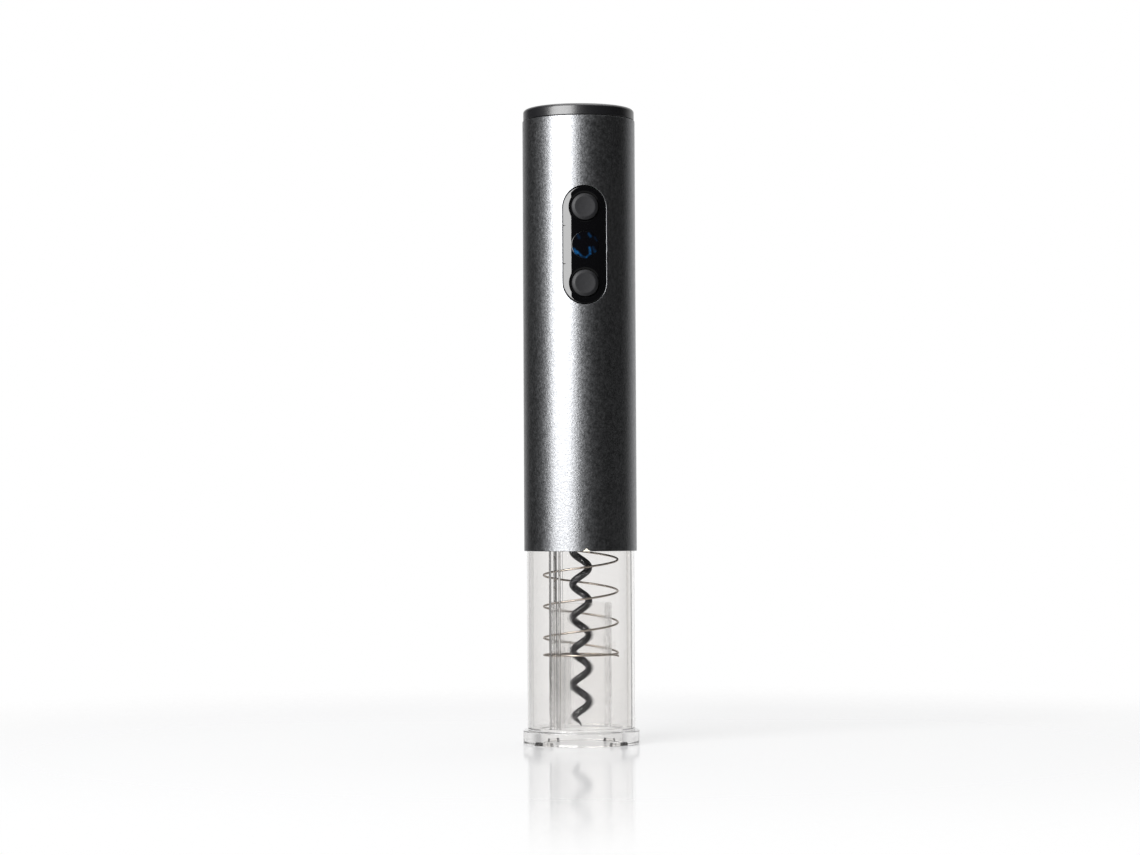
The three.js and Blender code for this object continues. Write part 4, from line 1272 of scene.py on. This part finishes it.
    def guide(self) -> bpy.types.Object:
        """Builds the cork guide: a tube joined to three ribs by exact booleans."""
        outline = eased(
            [
                (self.cork_r, self.guide_low, 0.3),
                (self.cork_r + self.cork_wall, self.guide_low, 0.1),
                (self.cork_r + self.cork_wall, self.guide_top, 0.25),
                (self.cork_r, self.guide_top, 0.25),
            ],
            4,
        )
        tube = piece("cork_guide_tube", *turned(outline, 144))
        for k in range(3):
            rib = self.rib(self.rail_azimuth + 120 * k)
            join = tube.modifiers.new("rib", "BOOLEAN")
            join.operation = "UNION"
            join.solver = "EXACT"
            join.object = rib
            with bpy.context.temp_override(object=tube, active_object=tube):
                bpy.ops.object.modifier_apply(modifier=join.name)
            bpy.data.objects.remove(rib)
        tube.data.set_sharp_from_angle(angle=math.radians(30))
        return tube

    def build(self) -> None:
        """Builds and places the sleeve and the cork guide."""
        place(self.shell(), "sleeve", "clear_polycarbonate", "clear_sleeve")
        place(self.guide(), "sleeve", "clear_polycarbonate", "cork_guide", finish=CLEAR_INSERT)


# ------------------------------------------------------------------ inner pieces
class InnerPieces:
    """The frame's own nodes that stay as they are, each in its real finish."""

    @staticmethod
    def build() -> None:
        """Dresses every node that no finished piece replaces."""
        slots = {row["node"]: row["material_slot"] for row in frame["record"]["subparts"]}
        for name, node in frame["nodes"].items():
            if node.hide_render:
                continue
            dress(node, FINISHES[slots[name]])
            log.info("%s is dressed in %s", name, slots[name])


# ------------------------------------------------------------------ stage
@dataclass
class Studio:
    """A pale glossy table, a white backdrop, a tall soft light and the camera.

    Azimuths are in degrees from the front, lengths in millimetres, and the lights and
    the table's fade in metres. Each low lobe is an azimuth and a strength. The pairs
    from behind to straight are cosines of level angles between which the surroundings
    change, and the last two are upward parts of the ray's direction.
    """

    azimuth: float = -6.0
    distance: float = 1177.0
    camera_z: float = 88.0
    aim_z: float = 123.35
    aim_left: float = 3.9
    lens_mm: float = 95.0
    roll: float = -0.28
    dark: float = 0.022
    softbox_azimuth: float = -35.0
    softbox_w: float = 1.36
    softbox_h: float = 1.6
    softbox_foot: float = 0.064
    softbox_power: float = 74.0
    backdrop_turn: float = -9.0
    seen_through: float = 0.22
    mirror: float = 0.65
    table_glow: float = 0.5
    low_lobes: tuple = ((-42.0, 2.2), (95.0, 1.0), (205.0, 2.0))
    between_lobes: float = 0.2
    behind: tuple = (0.45, 0.99)
    overhead: tuple = (0.6, 0.95)
    lobe: tuple = (0.84, 0.98)
    straight: tuple = (0.92, 0.99)
    descent: tuple = (-0.28, -0.18)
    table_seen: tuple = (-0.2, -0.11)
    softbox_away: float = 1.5
    top_spot: tuple = (0.1, 0.25, 1.9)
    top_size: float = 1.6
    top_aim: float = 0.15
    top_power: float = 14.0
    second_image: float = 0.1
    table_half: float = 1500.0
    table_fade: tuple = (0.19, 0.42)

    def heading(self, azimuth: float) -> Vector:
        """Returns the level direction from the opener to a place at an azimuth."""
        turn = math.radians(azimuth)
        return Vector((math.sin(turn), -math.cos(turn), 0))

    def camera(self) -> None:
        """Makes the camera at eye level with the sleeve, turned up a little."""
        made = bpy.data.objects.new("camera", bpy.data.cameras.new("camera"))
        bpy.context.scene.collection.objects.link(made)
        made.data.lens = self.lens_mm
        made.data.sensor_width = 36.0
        right = self.heading(self.azimuth + 90)
        target = Vector((0, 0, self.aim_z)) - right * self.aim_left
        stand = self.heading(self.azimuth) * self.distance + Vector((0, 0, self.camera_z))
        made.location = stand * MM
        look = (target - stand).to_track_quat("-Z", "Y")
        made.rotation_mode = "QUATERNION"
        made.rotation_quaternion = look @ Quaternion((0, 0, 1), math.radians(self.roll))
        bpy.context.scene.camera = made

    def softbox(
        self, name: str, spot: Vector, aim: Vector, width: float, height: float, power: float
    ) -> None:
        """Makes a rectangular light at a spot in metres, turned to an aim.

        Its image in a surface that is itself seen in the table's mirror is kept faint.
        """
        lamp = bpy.data.lights.new(name, "AREA")
        lamp.shape = "RECTANGLE"
        lamp.size, lamp.size_y, lamp.energy = width, height, power
        lamp.use_nodes = True
        tree = lamp.node_tree
        tree.nodes.clear()
        bounces = add_node(tree, "ShaderNodeLightPath").outputs["Glossy Depth"]
        level = ranged(tree, bounces, 1.2, 1.8, 1.0, self.second_image, "SMOOTHSTEP")
        emission = add_node(tree, "ShaderNodeEmission", {"Strength": level})
        add_node(tree, "ShaderNodeOutputLight", {"Surface": emission.outputs[0]})
        made = bpy.data.objects.new(name, lamp)
        bpy.context.scene.collection.objects.link(made)
        made.location = spot
        made.rotation_mode = "QUATERNION"
        made.rotation_quaternion = (aim - spot).to_track_quat("-Z", "Y")
        made.visible_camera = False

    def floor(self) -> None:
        """Makes the table: white, with a faint mirror image, fading out round the opener."""
        side = np.linspace(-self.table_half, self.table_half, 3)
        x, y = np.meshgrid(side, side)
        points = np.stack([x.ravel(), y.ravel(), np.zeros(x.size)], 1)
        made = piece("table_top", points, grid_quads(3, 3, False, False))
        finish = bpy.data.materials.new("white_acrylic_table")
        finish.use_nodes = True
        tree = finish.node_tree
        tree.nodes.clear()
        white = linear("#ffffff")
        matt = add_node(tree, "ShaderNodeBsdfDiffuse", {"Color": linear("#8c8c8d")})
        glow = add_node(tree, "ShaderNodeEmission", {"Color": white, "Strength": self.table_glow})
        lit = add_node(tree, "ShaderNodeAddShader", {0: matt.outputs[0], 1: glow.outputs[0]})
        gloss = add_node(tree, "ShaderNodeBsdfGlossy", {"Color": white, "Roughness": 0.08})
        grazing = add_node(tree, "ShaderNodeFresnel", {"IOR": 1.45}).outputs[0]
        share = maths(tree, "MULTIPLY", grazing, self.mirror)
        mixed = self.mixed(tree, share, lit, gloss)
        away = vector_maths(tree, "LENGTH", here(tree), result="Value")
        gone = ranged(tree, away, *self.table_fade, 0.0, 1.0, "SMOOTHSTEP")
        clear = add_node(tree, "ShaderNodeBsdfTransparent")
        faded = self.mixed(tree, gone, mixed, clear)
        add_node(tree, "ShaderNodeOutputMaterial", {"Surface": faded.outputs[0]})
        made.data.materials.append(finish)
        made.visible_glossy = False

    @staticmethod
    def mixed(tree: bpy.types.NodeTree, share: Any, first: Any, second: Any) -> bpy.types.Node:
        """Adds a mix of two shaders, with the second's share."""
        shaders = {0: share, 1: first.outputs[0], 2: second.outputs[0]}
        return add_node(tree, "ShaderNodeMixShader", shaders)

    def backdrop(self) -> None:
        """Sets the surroundings, by the ray's direction and kind.

        Level rays find white behind the opener and dark to its sides and in front. Rays
        that go well down find wide soft lights instead, so that a view from above still
        has highlights. Rays through the clear pieces find a wider white, and the camera
        finds white everywhere.
        """
        world = bpy.data.worlds.new("studio")
        bpy.context.scene.world = world
        world.use_nodes = True
        tree = world.node_tree
        tree.nodes.clear()
        ray = add_node(tree, "ShaderNodeTexCoord").outputs["Generated"]
        level_ray = vector_maths(tree, "NORMALIZE", vector_maths(tree, "MULTIPLY", ray, (1, 1, 0)))
        upward = add_node(tree, "ShaderNodeSeparateXYZ", {0: ray}).outputs[2]
        path = add_node(tree, "ShaderNodeLightPath").outputs

        def facing(azimuth: float) -> Any:
            """Adds the cosine of the level angle between the ray and an azimuth's far side."""
            far_side = tuple(-self.heading(azimuth))
            return vector_maths(tree, "DOT_PRODUCT", level_ray, far_side, result="Value")

        def rise(value: Any, start: float, end: float, low: float, high: float) -> Any:
            """Adds a smooth change from low at start to high at end."""
            return ranged(tree, value, start, end, low, high, "SMOOTHSTEP")

        white = rise(facing(self.azimuth + self.backdrop_turn), *self.behind, self.dark, 1.0)
        level = maths(tree, "MAXIMUM", white, rise(upward, *self.overhead, 0.0, 0.9))
        low = 0.0
        for azimuth, strength in self.low_lobes:
            lobe = rise(facing(azimuth + 180), *self.lobe, self.between_lobes, strength)
            low = maths(tree, "MAXIMUM", low, lobe)
        going_down = rise(upward, *self.descent, 1.0, 0.0)
        level = add_node(tree, "ShaderNodeMix", {0: going_down, 2: level, 3: low}).outputs[0]
        straight = rise(facing(self.azimuth), *self.straight, self.seen_through, 1.0)
        straight = maths(tree, "MAXIMUM", straight, rise(upward, *self.table_seen, 0.9, 0.0))
        through = maths(tree, "MULTIPLY", path["Is Transmission Ray"], straight)
        for lit in (through, path["Is Camera Ray"]):
            level = maths(tree, "MAXIMUM", level, lit)
        inputs = {"Color": linear("#ffffff"), "Strength": level}
        sky = add_node(tree, "ShaderNodeBackground", inputs)
        add_node(tree, "ShaderNodeOutputWorld", {"Surface": sky.outputs[0]})

    def build(self) -> None:
        """Sets up the camera, the lights, the table and the surroundings."""
        self.camera()
        self.backdrop()
        self.floor()
        level = Vector((0, 0, self.softbox_foot + self.softbox_h / 2))
        side = self.heading(self.azimuth + self.softbox_azimuth) * self.softbox_away + level
        size = self.softbox_w, self.softbox_h
        self.softbox("softbox_left", side, level, *size, self.softbox_power)
        aim = Vector((0, 0, self.top_aim))
        size = self.top_size, self.top_size
        self.softbox("softbox_top", Vector(self.top_spot), aim, *size, self.top_power)
        bpy.context.scene.view_settings.view_transform = "Standard"
        log.info("studio is set")


def corners(box: tuple) -> list:
    """Returns a box's two corners as plain lists of numbers."""
    return [[float(v) for v in corner] for corner in box]


def main() -> None:
    """Builds the opener in order, then its stage."""
    logging.basicConfig(level=logging.INFO, format="%(name)s: %(message)s")
    Studio().build()
    OuterShell().build()
    ControlPanel().build()
    ChargingPort().build()
    ClearSleeve().build()
    Corkscrew().build()
    ReturnSpring().build()
    InnerPieces.build()


if __name__ == "__main__":
    main()
